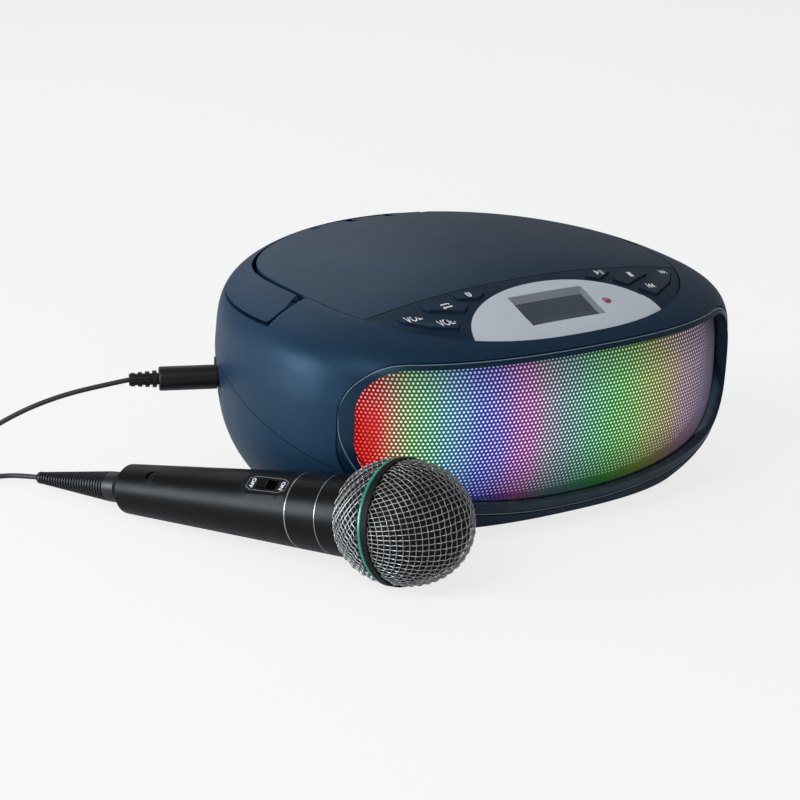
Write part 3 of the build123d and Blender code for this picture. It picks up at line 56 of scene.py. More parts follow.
# %% Place the camera
EYE = Vector((-0.7249, -1.0413, 0.4128))
LOOK_RIGHT = Vector((0.8329, -0.5534, 0.0))
LOOK_UP = Vector((0.1573, 0.2368, 0.9588))
LOOK_BACK = Vector((-0.5306, -0.7986, 0.2842))
SENSOR_WIDTH, FOCAL_LENGTH = 36.0, 123.28        # mm
camera_data = bpy.data.cameras.new("camera")
camera_data.sensor_width, camera_data.lens = SENSOR_WIDTH, FOCAL_LENGTH
camera = bpy.data.objects.new("camera", camera_data)
camera.matrix_world = (
    Matrix.Translation(EYE) @ Matrix((LOOK_RIGHT, LOOK_UP, LOOK_BACK)).transposed().to_4x4()
)
bpy.context.scene.collection.objects.link(camera)
bpy.context.scene.camera = camera
bpy.context.scene.view_settings.view_transform = "Standard"
print("camera lens", camera_data.lens, "mm at", tuple(EYE))

# %% [markdown]
# ## Small helpers
# A piece of the object is a mesh that is linked to the scene and rides on one CAD body, so that it
# moves when that body does. One helper does both.


# %% Helpers that add pieces
def add_piece(name, mesh, material, body):
    """Link a mesh or curve as a piece that rides on a body."""
    piece = bpy.data.objects.new(name, mesh)
    bpy.context.scene.collection.objects.link(piece)
    if material is not None:
        mesh.materials.append(material)
    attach(piece, body)
    return piece


def mesh_from(name, points, faces, sharp_angle):
    """Mesh with smooth shading that breaks at sharp edges. Points are in millimetres."""
    mesh = bpy.data.meshes.new(name)
    mesh.from_pydata([Vector(point) * MM for point in points], [], faces)
    mesh.validate()
    tidy = bmesh.new()
    tidy.from_mesh(mesh)
    bmesh.ops.recalc_face_normals(tidy, faces=tidy.faces)
    tidy.to_mesh(mesh)
    tidy.free()
    mesh.shade_smooth()
    mesh.set_sharp_from_angle(angle=radians(sharp_angle))
    return mesh


# %% [markdown]
# ## The microphone cord
# A free cord has a fixed length, so its route is decided before its thickness. It leaves the plug
# at the machine's left side, sags to the table, is put away in a small round coil outside the
# picture, and runs back into the boot at the microphone's tail. One NURBS spline with an order
# of 3 keeps the line smooth, and stays close to the tube that the CAD model has there.

# %% Route of the cord, in millimetres
PLUG_ROUTE = [
    (-146.45, 59.44, 56.0), (-163.7, 67.7, 52.6), (-178.0, 74.6, 48.6), (-193.0, 81.8, 42.3),
    (-208.2, 89.0, 33.0), (-222.4, 95.8, 21.0), (-234.4, 101.6, 9.6), (-246.2, 108.4, 2.6),
    (-255.6, 118.6, 1.2), (-258.6, 131.0, 1.2),
]
BOOT_ROUTE = [
    (-219.0, 131.0, 1.2), (-214.2, 119.6, 1.2), (-202.4, 114.6, 1.6), (-190.8, 109.4, 3.0),
    (-184.6, 100.6, 4.4), (-180.0, 90.0, 5.5),
]
COIL_X, COIL_Y = -240.0, 142.0
COIL_COLUMNS = (18.4, 15.85, 13.3, 10.75)
COIL_LAYERS = (1.25, 3.75, 6.25, 8.75)
POINTS_PER_TURN, CHANGE_POINTS = 12, 3
# the last half turn steps down outside the ring to the table: angle in degrees, radius, height
STEP_DOWN = [
    (180, 18.4, 8.75), (150, 18.4, 8.75), (120, 18.5, 8.75), (90, 18.9, 8.4), (62, 19.6, 7.0),
    (38, 20.7, 4.6), (16, 21.4, 2.2),
]
# a quadratic spline runs inside its control points; this factor puts the turns on their radius
SPLINE_SPREAD = 1 / 0.9662


def coil_point(angle, radius, height):
    """Control point of the coil at an angle from its centre."""
    reach = radius * SPLINE_SPREAD
    return (COIL_X + reach * cos(angle), COIL_Y + reach * sin(angle), height)


coil_tracks = []
for layer, height in enumerate(COIL_LAYERS):
    columns = COIL_COLUMNS if layer % 2 == 0 else COIL_COLUMNS[::-1]
    coil_tracks += [(radius, height) for radius in columns]
coil_route = []
for turn, (radius, height) in enumerate(coil_tracks):
    next_radius, next_height = coil_tracks[min(turn + 1, len(coil_tracks) - 1)]
    for step in range(POINTS_PER_TURN):
        angle = pi - 2 * pi * step / POINTS_PER_TURN
        # the last points of a turn move over to the next turn's place
        shift = max(0, (step - POINTS_PER_TURN + CHANGE_POINTS) / CHANGE_POINTS)
        coil_route.append(coil_point(
            angle, radius + (next_radius - radius) * shift, height + (next_height - height) * shift
        ))
for angle, radius, height in STEP_DOWN:
    coil_route.append(coil_point(radians(angle), radius, height))
cord_route = PLUG_ROUTE + coil_route + BOOT_ROUTE
print("cord route has", len(cord_route), "points,", len(coil_tracks), "turns")

# %% Make the cord
CORD_DIAMETER = 2.4
cord_curve = bpy.data.curves.new("microphone_cord", "CURVE")
cord_curve.dimensions = "3D"
cord_spline = cord_curve.splines.new("NURBS")
cord_spline.points.add(len(cord_route) - 1)
for point, place in zip(cord_spline.points, cord_route):
    point.co = (place[0] * MM, place[1] * MM, place[2] * MM, 1.0)
cord_spline.order_u = 3
cord_spline.use_endpoint_u = True
cord_spline.resolution_u = 6
cord_curve.bevel_depth = CORD_DIAMETER / 2 * MM
cord_curve.bevel_resolution = 4

# %% [markdown]
# ## Finishes
# Most of the machine is injection-moulded plastic. Up close such a skin has a fine even grain, its
# gloss changes a little from place to place, and its colour isn't perfectly even. One node group
# makes these three variations, and every plastic uses it with its own colour and grain. The
# shader itself stays in each material, so that each finish keeps its own gloss and coat.


# %% Helpers for shader nodes
def shader_group(name, inputs, outputs):
    """Node group with inputs given as (name, kind, value) and outputs as (name, kind)."""
    group = bpy.data.node_groups.new(name, "ShaderNodeTree")
    for label, kind, value in inputs:
        socket = group.interface.new_socket(
            name=label, in_out="INPUT", socket_type="NodeSocket" + kind
        )
        socket.default_value = value
    for label, kind in outputs:
        group.interface.new_socket(name=label, in_out="OUTPUT", socket_type="NodeSocket" + kind)
    return group, group.nodes.new("NodeGroupInput"), group.nodes.new("NodeGroupOutput")


def feed(tree, shader_node, values):
    """Fill a node's inputs, by name or number: sockets are linked, and plain values are set."""
    for label, value in values.items():
        if isinstance(value, bpy.types.NodeSocket):
            tree.links.new(value, shader_node.inputs[label])
        else:
            shader_node.inputs[label].default_value = value


def ranged(tree, source, low, high, to_low, to_high):
    """Map Range node; low to high becomes to_low to to_high, and each may be a socket."""
    remap = tree.nodes.new("ShaderNodeMapRange")
    feed(tree, remap, {
        "Value": source, "From Min": low, "From Max": high, "To Min": to_low, "To Max": to_high,
    })
    return remap.outputs["Result"]


def product(tree, first, second):
    """Math node that multiplies two values."""
    times = tree.nodes.new("ShaderNodeMath")
    times.operation = "MULTIPLY"
    feed(tree, times, {0: first, 1: second})
    return times.outputs["Value"]


def colour_mix(tree, share, first, second):
    """Mix node between two colours."""
    mix = tree.nodes.new("ShaderNodeMix")
    mix.data_type = "RGBA"
    feed(tree, mix, {"Factor": share, "A": first, "B": second})
    return mix.outputs["Result"]


def noise(tree, scale, detail):
    """Noise over the object's own coordinates."""
    place = tree.nodes.new("ShaderNodeTexCoord")
    texture = tree.nodes.new("ShaderNodeTexNoise")
    feed(tree, texture, {"Vector": place.outputs["Object"], "Scale": scale, "Detail": detail})
    return texture.outputs["Fac"]


def group_node(tree, group):
    """A shader group placed in a material."""
    placed = tree.nodes.new("ShaderNodeGroup")
    placed.node_tree = group
    return placed


def new_material(name):
    """Material with nodes, given with its tree and its Principled shader."""
    material = bpy.data.materials.new(name)
    material.use_nodes = True
    return material, material.node_tree, material.node_tree.nodes["Principled BSDF"]


# %% Moulded skin: grain, uneven gloss and uneven colour
moulded, skin_in, skin_out = shader_group(
    "moulded_skin",
    [
        ("Colour", "Color", (0.1, 0.1, 0.1, 1)),
        ("Worn Colour", "Color", (0.2, 0.2, 0.2, 1)),
        ("Grain Scale", "Float", 1400.0),
        ("Gloss Low", "Float", 0.3),
        ("Gloss High", "Float", 0.45),
    ],
    [("Colour", "Color"), ("Roughness", "Float"), ("Height", "Float")],
)
PATCH_SCALE, PATCH_RANGE, MOST_WORN = 22.0, (0.35, 0.75), 0.35
GLOSS_SCALE, GLOSS_RANGE = 70.0, (0.3, 0.7)
wear = ranged(moulded, noise(moulded, PATCH_SCALE, 4.0), *PATCH_RANGE, 0.0, MOST_WORN)
uneven_gloss = ranged(
    moulded, noise(moulded, GLOSS_SCALE, 5.0), *GLOSS_RANGE,
    skin_in.outputs["Gloss Low"], skin_in.outputs["Gloss High"],
)
feed(moulded, skin_out, {
    "Colour": colour_mix(moulded, wear, skin_in.outputs["Colour"], skin_in.outputs["Worn Colour"]),
    "Roughness": uneven_gloss,
    "Height": noise(moulded, skin_in.outputs["Grain Scale"], 3.0),
})
print("group", moulded.name, "has", len(moulded.nodes), "nodes")


# %% Helper that makes a plastic from the moulded skin
COAT_ROUGHNESS, BUMP_STRENGTH = 0.18, 0.6


def plastic(name, colour, worn, grain_scale, gloss, bump, coat=0.0, metallic=0.0, shine=0.5,
            tint=(1.0, 1.0, 1.0)):
    """Principled material whose colour, gloss and bump come from the moulded skin group.

    colour and worn are the two colours it varies between, gloss the two roughnesses, and bump the
    depth of the grain in hundredths of a millimetre.
    """
    material, tree, shader = new_material(name)
    skin = group_node(tree, moulded)
    feed(tree, skin, {
        "Colour": (*colour, 1), "Worn Colour": (*worn, 1), "Grain Scale": grain_scale,
        "Gloss Low": gloss[0], "Gloss High": gloss[1],
    })
    relief = tree.nodes.new("ShaderNodeBump")
    feed(tree, relief, {
        "Height": skin.outputs["Height"], "Distance": bump * 0.01 * MM, "Strength": BUMP_STRENGTH,
    })
    feed(tree, shader, {
        "Base Color": skin.outputs["Colour"], "Roughness": skin.outputs["Roughness"],
        "Normal": relief.outputs["Normal"], "Metallic": metallic, "Coat Weight": coat,
        "Coat Roughness": COAT_ROUGHNESS, "Specular IOR Level": shine, "Specular Tint": (*tint, 1),
    })
    return material


# %% Plastics and metals of the machine
BLUE = (0.35, 0.68, 1.0)
navy = plastic("navy_satin", (0.008, 0.026, 0.054), (0.0085, 0.027, 0.056), 1500, (0.43, 0.46),
               3, shine=0.3, tint=BLUE)
navy_deep = plastic("navy_panel", (0.006, 0.017, 0.037), (0.007, 0.018, 0.039), 1500, (0.42, 0.46),
                    3, shine=0.25, tint=BLUE)
navy_frame = plastic("navy_frame", (0.003, 0.014, 0.030), (0.005, 0.017, 0.035), 1500, (0.30, 0.38),
                     3, shine=0.5, tint=BLUE)
# lighter navy for the bead on the frame's edge: a painted highlight on its rounded edge
painted_highlight_navy = plastic("painted_highlight_navy", (0.16, 0.22, 0.30), (0.20, 0.26, 0.34), 1500, (0.16, 0.24),
                    1, coat=0.5)
key_navy = plastic("key_navy", (0.007, 0.018, 0.038), (0.009, 0.021, 0.043), 1800, (0.34, 0.44),
                   3, shine=0.3, tint=BLUE)
silver = plastic("silver_paint", (0.74, 0.82, 0.92), (0.78, 0.86, 0.96), 2600, (0.30, 0.40),
                 1, coat=0.3, metallic=0.3)
inner_black = plastic("inner_black", (0.012, 0.012, 0.013), (0.022, 0.022, 0.024), 900, (0.45, 0.6),
                      5)
mic_satin = plastic("microphone_black", (0.002, 0.002, 0.002), (0.003, 0.003, 0.003),
                    1600, (0.34, 0.38), 3, shine=0.14)
plate_black = plastic("plate_black", (0.004, 0.004, 0.004), (0.008, 0.008, 0.008), 1600, (0.5, 0.6),
                      2, shine=0.15)
plug_black = plastic("plug_black", (0.007, 0.007, 0.008), (0.012, 0.012, 0.013), 1200, (0.34, 0.46),
                     4, shine=0.35)
rubber = plastic("foot_rubber", (0.018, 0.018, 0.018), (0.035, 0.034, 0.033), 600, (0.7, 0.85), 8)
steel = plastic("plain_steel", (0.55, 0.56, 0.58), (0.42, 0.42, 0.44), 2200, (0.22, 0.38),
                1, metallic=1.0)
copper_board = plastic("circuit_board", (0.010, 0.075, 0.030), (0.022, 0.11, 0.045),
                       350, (0.3, 0.5), 8)
cone_paper = plastic("cone_paper", (0.020, 0.019, 0.018), (0.040, 0.038, 0.036), 700, (0.75, 0.9),
                     12)
ring_green = plastic("ring_green", (0.012, 0.26, 0.17), (0.018, 0.30, 0.20), 1500, (0.24, 0.34),
                     2, coat=0.3)
print_white = plastic("printed_white", (0.86, 0.88, 0.90), (0.78, 0.80, 0.82), 3000, (0.5, 0.6), 1)
fine_line = plastic("bright_line", (0.30, 0.31, 0.33), (0.24, 0.25, 0.27), 2500, (0.2, 0.3),
                    1, metallic=0.6)
cord_skin = plastic("cord_jacket", (0.012, 0.012, 0.013), (0.022, 0.022, 0.023), 900, (0.42, 0.55),
                    5)
lens_red = plastic("lens_red", (0.30, 0.006, 0.006), (0.36, 0.010, 0.008), 2500, (0.08, 0.14),
                   1, coat=1.0)
glass_dark = plastic("display_glass", (0.040, 0.056, 0.082), (0.046, 0.064, 0.092),
                     60, (0.16, 0.22), 1, coat=0.3)
window_wall = plastic("window_wall", (0.22, 0.25, 0.30), (0.26, 0.29, 0.34), 1500, (0.3, 0.4), 1)
print("finishes so far:", len(bpy.data.materials))

# %% [markdown]
# ## Light behind the grille
# Coloured diodes shine on a milky sheet behind the grille. Their colours change along the machine's
# width, so a colour ramp over X is enough. The same ramp colours a painted glow on the perforated
# metal in front, standing in for the light that the metal catches, so it's a group.


# %% Spectrum group: colour of the light along X
# place along X in millimetres, and the colour there
SPECTRUM = [
    (-101, (0.62, 0.004, 0.002)), (-94.5, (0.66, 0.006, 0.003)), (-90, (0.42, 0.16, 0.02)),
    (-83, (0.1, 0.46, 0.04)), (-75, (0.03, 0.42, 0.22)), (-67, (0.03, 0.3, 0.56)),
    (-55, (0.02, 0.07, 0.72)), (-45, (0.12, 0.05, 0.66)), (-36, (0.44, 0.05, 0.5)),
    (-29, (0.46, 0.1, 0.42)), (-22, (0.26, 0.22, 0.34)), (-11, (0.08, 0.28, 0.3)),
    (2, (0.03, 0.4, 0.16)), (14, (0.04, 0.48, 0.04)), (27, (0.14, 0.5, 0.02)),
    (40, (0.34, 0.42, 0.03)), (50, (0.42, 0.34, 0.1)), (64, (0.4, 0.22, 0.34)),
    (80, (0.3, 0.2, 0.36)), (94, (0.12, 0.11, 0.16)),
]
SPECTRUM_LOW, SPECTRUM_HIGH = -106.0, 106.0
# each: from one place in metres to another, and the share of light at the first and the second
LOW_FADE, HIGH_FADE = (0.014, 0.042, 0.25, 1.0), (0.088, 0.066, 0.35, 1.0)
SPILL_ALONG, SPILL_UP = (-0.088, -0.095, 0.0, 1.0), (0.082, 0.060, 0.15, 1.0)
spectrum, _, spectrum_out = shader_group(
    "diode_spectrum", [], [("Colour", "Color"), ("Glow", "Float"), ("Spill", "Float")]
)
place = spectrum.nodes.new("ShaderNodeTexCoord")
split = spectrum.nodes.new("ShaderNodeSeparateXYZ")
feed(spectrum, split, {"Vector": place.outputs["Object"]})
ramp = spectrum.nodes.new("ShaderNodeValToRGB")
stops = ramp.color_ramp.elements
for index, (x, colour) in enumerate(SPECTRUM):
    where = (x - SPECTRUM_LOW) / (SPECTRUM_HIGH - SPECTRUM_LOW)
    stop = stops[index] if index < 2 else stops.new(where)
    stop.position = where
    stop.color = (*colour, 1)
along_ramp = ranged(spectrum, split.outputs["X"], SPECTRUM_LOW * MM, SPECTRUM_HIGH * MM, 0, 1)
feed(spectrum, ramp, {"Fac": along_ramp})
# the light fades towards the lower and upper edges
low_fade = ranged(spectrum, split.outputs["Z"], *LOW_FADE)
high_fade = ranged(spectrum, split.outputs["Z"], *HIGH_FADE)
# at the left end a painted pool of red light stands in for a red diode shining on the metal itself
spill_along = ranged(spectrum, split.outputs["X"], *SPILL_ALONG)
spill_up = ranged(spectrum, split.outputs["Z"], *SPILL_UP)
feed(spectrum, spectrum_out, {
    "Colour": ramp.outputs["Color"],
    "Glow": product(spectrum, low_fade, high_fade),
    "Spill": product(spectrum, spill_along, spill_up),
})
print("spectrum stops:", len(stops))


# %% Two lit materials: the milky sheet, and the metal in front of it, whose glow is painted light
WASH, UNLIT = (0.9, 0.95, 1.0, 1), (0.0, 0.0, 0.0, 1)
WORN_GAIN, GLOSS_SPREAD, WHITE_LEFT = 1.3, 0.1, 0.1


def lit_material(name, base, whiten, strength, roughness, metallic=0.0, spill=0.0):
    """Material that glows in the spectrum's colour, whitened by a share.

    On the metal the glow is painted light, standing in for the diodes' light that falls on it.
    Where the red diode shines on the metal itself, spill adds strength as a painted pool of light,
    and little white shows.
    The emission strength stays a plain value, the highest one; only the colour varies.
    """
    material, tree, shader = new_material(name)
    light, skin = group_node(tree, spectrum), group_node(tree, moulded)
    feed(tree, skin, {
        "Colour": (*base, 1), "Worn Colour": (*(WORN_GAIN * part for part in base), 1),
        "Gloss Low": roughness, "Gloss High": roughness + GLOSS_SPREAD,
    })
    highest = strength + spill
    bright = ranged(tree, light.outputs["Spill"], 0.0, 1.0, strength / highest, 1.0)
    glow = product(tree, light.outputs["Glow"], bright)
    whitened = ranged(tree, light.outputs["Spill"], 0.0, 1.0, whiten, WHITE_LEFT * whiten)
    washed = colour_mix(tree, whitened, light.outputs["Colour"], WASH)
    feed(tree, shader, {
        "Base Color": skin.outputs["Colour"], "Roughness": skin.outputs["Roughness"],
        "Metallic": metallic, "Emission Strength": highest,
        "Emission Color": colour_mix(tree, glow, UNLIT, washed),
    })
    return material


milky_light = lit_material("milky_light", (0.5, 0.5, 0.5), 0.5, 1.5, 0.6)
# the grille's metal gets a painted glow in the spectrum's colours, and a painted pool of red light
# at its left end
painted_glow_metal = lit_material("painted_glow_metal", (0.012, 0.012, 0.014), 0.0, 0.34, 0.5, metallic=0.3,
                         spill=0.2)
print("lit materials:", milky_light.name, painted_glow_metal.name)

# %% [markdown]
# ## The perforated grille
# The grille is a thin metal sheet with staggered round holes, bent round the front. Each hole gets
# its own hexagon of mesh: twelve points on the hexagon, twelve on the hole, and quads between.
# Columns are spaced along the bent sheet, not along X, so the holes stay round where it turns away.

# %% Shape of the machine's front, repeated from the CAD source
HALF_WIDTH, FRONT_REACH, WIDEST_Y, WIDEST_Z = 122.0, 91.8, -19.3, 71.4
FOOT_HEIGHT, SHOULDER_Z, FRONT_POWER, TOP_LEAN = 5.5, 104.25, 2.46, 0.071
# how far the wall draws in at the foot and the shoulder, and how late it does so
FOOT_INSET, FOOT_POWER = 21.2, 3.4
SHOULDER_INSET, SHOULDER_POWER, SHOULDER_SLOPE = 23.6, 4.4, 3.2


def wall_inset(level):
    """How far the wall stands in from the widest outline at a height."""
    if level < WIDEST_Z:
        return FOOT_INSET * ((WIDEST_Z - level) / (WIDEST_Z - FOOT_HEIGHT)) ** FOOT_POWER
    rise = (level - WIDEST_Z) / (SHOULDER_Z - WIDEST_Z)
    return SHOULDER_INSET * rise ** SHOULDER_POWER + SHOULDER_SLOPE * rise


def front_y(x, z, depth):
    """Y of the front surface, moved in by a depth, at a place seen from the front.

    The surface leans with y, so both are found by a few rounds of trial.
    """
    y = -100.0
    for _ in range(4):
        level = z
        for _ in range(3):
            rise = min(max((level - WIDEST_Z) / (SHOULDER_Z - WIDEST_Z), 0), 1)
            level = z - TOP_LEAN * rise * (y - WIDEST_Y)
        inset = wall_inset(level) + depth
        side = min(abs(x) / (HALF_WIDTH - inset), 0.999)
        y = WIDEST_Y - (FRONT_REACH - inset) * (1 - side ** FRONT_POWER) ** (1 / FRONT_POWER)
    return y


GRILLE_DEPTH, BOTTOM_ARC, SHEET_THICKNESS, EDGE_MARGIN = 6.5, 690.0, 0.3, 0.3
MIDDLE_Z = 50
# half width, top, bottom, top corner radius, bottom corner radius
OPENING = (105.9, 85.6, 16.6, 19.0, 27.0)
FRAME_EDGE = (110.4, 87.9, 10.6, 23.4, 31.4)


def on_front(x, z, depth=GRILLE_DEPTH):
    """Point on the bent front, at a depth behind its surface."""
    return (x, front_y(x, z, depth), z)


def margin(x, z, outline):
    """Distance inside an outline, a rounded trapezoid with a bowed lower edge."""
    half_width, top, low, top_corner, low_corner = outline
    bottom = low + x * x / BOTTOM_ARC
    centre, half_height = (top + bottom) / 2, (top - bottom) / 2
    corner = top_corner if z > centre else low_corner
    dx = abs(x) - (half_width - corner)
    dz = abs(z - centre) - (half_height - corner)
    outside = sqrt(max(dx, 0) ** 2 + max(dz, 0) ** 2) + min(max(dx, dz), 0)
    return corner - outside


print("front of the machine at its middle:", round(front_y(0, MIDDLE_Z, 0), 2))

# %% Even spacing along the bent sheet
HOLE_PITCH, HOLE_RADIUS, HOLE_SIDES = 2.0, 0.56, 12
STEP = 0.25
arc_table = [(0.0, 0.0)]
while arc_table[-1][0] < OPENING[0] + 2:
    x, length = arc_table[-1]
    rise = front_y(x + STEP, MIDDLE_Z, GRILLE_DEPTH) - front_y(x, MIDDLE_Z, GRILLE_DEPTH)
    arc_table.append((x + STEP, length + sqrt(STEP ** 2 + rise ** 2)))


def x_at(length):
    """X of the point that lies this far along the sheet from its middle."""
    target = abs(length)
    low, high = 0, len(arc_table) - 1
    while high - low > 1:
        middle = (low + high) // 2
        if arc_table[middle][1] < target:
            low = middle
        else:
            high = middle
    share = (target - arc_table[low][1]) / (arc_table[high][1] - arc_table[low][1])
    x = arc_table[low][0] + share * STEP
    return x if length >= 0 else -x


sheet_half_length = arc_table[-1][1]
print("sheet is", round(2 * sheet_half_length), "mm long when flat")

# %% Mesh of the perforated sheet
KEYS_PER_MM = 50                     # corners nearer than this grid are one point
row_step = HOLE_PITCH * sqrt(3) / 2
cell_radius = HOLE_PITCH / sqrt(3)
grille_points, grille_faces, shared = [], [], {}


def shared_point(along, up):
    """Index of a hexagon point; neighbours use the same one."""
    key = (round(along * KEYS_PER_MM), round(up * KEYS_PER_MM))
    if key not in shared:
        shared[key] = len(grille_points)
        grille_points.append(on_front(x_at(along), up))
    return shared[key]


row_count = int((OPENING[1] - OPENING[2]) / row_step) + 2
column_count = int(sheet_half_length / HOLE_PITCH)
hole_count = 0
for row in range(row_count):
    up = OPENING[2] + row * row_step
    for column in range(-column_count, column_count + 1):
        along = (column + 0.5 * (row % 2)) * HOLE_PITCH
        if abs(along) > sheet_half_length - HOLE_PITCH:
            continue
        if margin(x_at(along), up, OPENING) < EDGE_MARGIN:
            continue
        hole_count += 1
        outer, inner = [], []
        for side in range(HOLE_SIDES):
            angle = pi / 6 + 2 * pi * side / HOLE_SIDES
            reach = cell_radius if side % 2 == 0 else HOLE_PITCH / 2
            outer.append(shared_point(along + reach * cos(angle), up + reach * sin(angle)))
            inner.append(len(grille_points))
            hole_x = x_at(along + HOLE_RADIUS * cos(angle))
            grille_points.append(on_front(hole_x, up + HOLE_RADIUS * sin(angle)))
        for side in range(HOLE_SIDES):
            after = (side + 1) % HOLE_SIDES
            grille_faces.append((outer[side], outer[after], inner[after], inner[side]))
grille_mesh = mesh_from("perforated_grille", grille_points, grille_faces, 60)
grille = add_piece("perforated_grille", grille_mesh, painted_glow_metal, "case")
thickness = grille.modifiers.new("thickness", "SOLIDIFY")
thickness.thickness = SHEET_THICKNESS * MM
thickness.offset = -1
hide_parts("speaker_grille")
print("grille has", hole_count, "holes")

# %% Thin rims that follow the opening: a black bead at the grille's edge, and a lighter bead on the frame's edge, a painted highlight
RIM_SIDES, RIM_STEPS, CORNER_CROWDING = 8, 240, 0.42
BEAD_OUTLINE = (105.2, 85.4, 16.8, 18.8, 26.8)
BEAD_DEPTH, BEAD_RADIUS = GRILLE_DEPTH - 0.2, 0.4
EDGE_DEPTH, EDGE_RADIUS = 0.62, 0.26
FARTHEST, HALVINGS, FRONT_BEND = 130.0, 30, 60


def edge_place(angle, outline):
    """Where a ray from the middle of an outline meets it."""
    middle_z = (outline[1] + outline[2]) / 2
    low, high = 0.0, FARTHEST
    for _ in range(HALVINGS):
        reach = (low + high) / 2
        if margin(reach * cos(angle), middle_z + reach * sin(angle), outline) > 0:
            low = reach
        else:
            high = reach
    return (low * cos(angle), middle_z + low * sin(angle))


def rim(name, outline, depth, radius, material):
    """Round bead that follows an outline on the bent front."""
    path, points, faces = [], [], []
    for step in range(RIM_STEPS):
        turn = 2 * pi * step / RIM_STEPS
        # more steps near the corners, where a long flat opening bends fastest
        x, z = edge_place(turn - CORNER_CROWDING * sin(2 * turn), outline)
        path.append(Vector(on_front(x, z, depth)))
    for step, point in enumerate(path):
        ahead = (path[(step + 1) % RIM_STEPS] - path[step - 1]).normalized()
        across = ahead.cross(Vector((point.x / FRONT_BEND, -1, 0))).normalized()
        outward = across.cross(ahead)
        for side in range(RIM_SIDES):
            angle = 2 * pi * side / RIM_SIDES
            points.append(point + radius * (cos(angle) * across + sin(angle) * outward))
        for side in range(RIM_SIDES):
            here, there = step * RIM_SIDES, ((step + 1) % RIM_STEPS) * RIM_SIDES
            after = (side + 1) % RIM_SIDES
            faces.append((here + side, here + after, there + after, there + side))
    return add_piece(name, mesh_from(name, points, faces, 80), material, "case")


rim("grille_rim", BEAD_OUTLINE, BEAD_DEPTH, BEAD_RADIUS, inner_black)
# the frame's edge bead is lighter than the frame: a painted highlight
rim("frame_painted_highlight", FRAME_EDGE, EDGE_DEPTH, EDGE_RADIUS, painted_highlight_navy)
print("rims go round the opening in", RIM_STEPS, "steps")

# %% [markdown]
# ## Prints on the keys and the microphone's switch
# The keys carry small white marks. A print is only a film of paint, so each mark is cut as a flat
# outline, dropped onto the surface that carries it with rays, and lifted by a few hundredths of a
# millimetre. It follows the curve of the key, and rides on it.


# %% Helpers that lay a flat mark on a surface
PRINT_LIFT = 0.05                        # mm above the surface
DRAWING_HEIGHT, RAY_START = 0.1, 0.06    # m; marks are drawn here, rays start this much above
BOLDNESS = 0.00006                       # m added round each letter
MARK_STRETCH = 1.8                       # marks are drawn tall, to be read from a low angle


def surface_of(name):
    """Tree for shooting rays at a CAD node."""
    depsgraph = bpy.context.evaluated_depsgraph_get()
    return BVHTree.FromObject(node[name], depsgraph)


def lay_down(mesh, tree, direction=Vector((0, 0, -1)), start=RAY_START):
    """Cut a mark finely and move every vertex along a direction to just above the surface."""
    fine = bmesh.new()
    fine.from_mesh(mesh)
    bmesh.ops.triangulate(fine, faces=fine.faces[:])
    bmesh.ops.subdivide_edges(fine, edges=fine.edges[:], cuts=3, use_grid_fill=True)
    fine.to_mesh(mesh)
    fine.free()
    missed = 0
    for vertex in mesh.vertices:
        hit, _, _, _ = tree.ray_cast(vertex.co - direction * start, direction)
        if hit is None:
            missed += 1
        else:
            vertex.co = hit - direction * PRINT_LIFT * MM
    return missed


def flat_mark(name, outlines, centre, size, stretch=MARK_STRETCH):
    """Mesh of one or more outlines, drawn tall round a centre in plan. Sizes are in millimetres."""
    shape = bmesh.new()
    for outline in outlines:
        shape.faces.new([
            shape.verts.new((
                (centre[0] + u * size) * MM, (centre[1] + v * size * stretch) * MM, DRAWING_HEIGHT,
            )) for u, v in outline
        ])
    bmesh.ops.triangulate(shape, faces=shape.faces)
    bmesh.ops.subdivide_edges(shape, edges=shape.edges, cuts=1)
    mesh = bpy.data.meshes.new(name)
    shape.to_mesh(mesh)
    shape.free()
    return mesh


def word_mark(name, words, centre, height, stretch=MARK_STRETCH):
    """Mesh of a short word in Blender's own font, centred in plan."""
    letters = bpy.data.curves.new(name + "_letters", "FONT")
    letters.body = words
    letters.size = height * MM
    letters.align_x, letters.align_y = "CENTER", "CENTER"
    letters.offset = BOLDNESS
    carrier = bpy.data.objects.new(name + "_letters", letters)
    mesh = bpy.data.meshes.new_from_object(carrier)
    mesh.name = name
    mesh.transform(Matrix.Scale(stretch, 4, Vector((0, 1, 0))))
    mesh.transform(Matrix.Translation((centre[0] * MM, centre[1] * MM, DRAWING_HEIGHT)))
    bpy.data.objects.remove(carrier)
    mesh.materials.clear()
    return mesh


def add_print(name, mesh, carrier, body):
    """Lay a mark on a CAD node and let it ride with that node's body."""
    missed = lay_down(mesh, surface_of(carrier))
    add_piece(name, mesh, print_white, body)
    print(name, "on", carrier, "missed vertices:", missed)


# %% Marks of the keys
PLAY_PAUSE = [[(-1.5, -.9), (.1, 0), (-1.5, .9)], [(.5, -.9), (.85, -.9), (.85, .9), (.5, .9)],
              [(1.2, -.9), (1.55, -.9), (1.55, .9), (1.2, .9)]]
STOP = [[(-.8, -.8), (.8, -.8), (.8, .8), (-.8, .8)]]
SKIP_NEXT = [[(-1.5, -.8), (-.2, 0), (-1.5, .8)], [(-.2, -.8), (1.1, 0), (-.2, .8)],
             [(1.15, -.8), (1.5, -.8), (1.5, .8), (1.15, .8)]]
SKIP_BACK = [[(-u, v) for u, v in reversed(outline)] for outline in SKIP_NEXT]
LOOP = [[(-1.6, .3), (1.0, .3), (1.0, .62), (-1.6, .62)], [(.9, .0), (1.7, .46), (.9, .92)],
        [(-1.0, -.62), (1.6, -.62), (1.6, -.3), (-1.0, -.3)], [(-.9, -.92), (-.9, 0), (-1.7, -.46)]]
ring_steps = [radians(130 + 280 * step / 14) for step in range(15)]
POWER_ARC = [(cos(a), sin(a)) for a in ring_steps]
POWER_ARC += [(.7 * cos(a), .7 * sin(a)) for a in reversed(ring_steps)]
POWER = [POWER_ARC, [(-.16, .1), (.16, .1), (.16, 1.2), (-.16, 1.2)]]
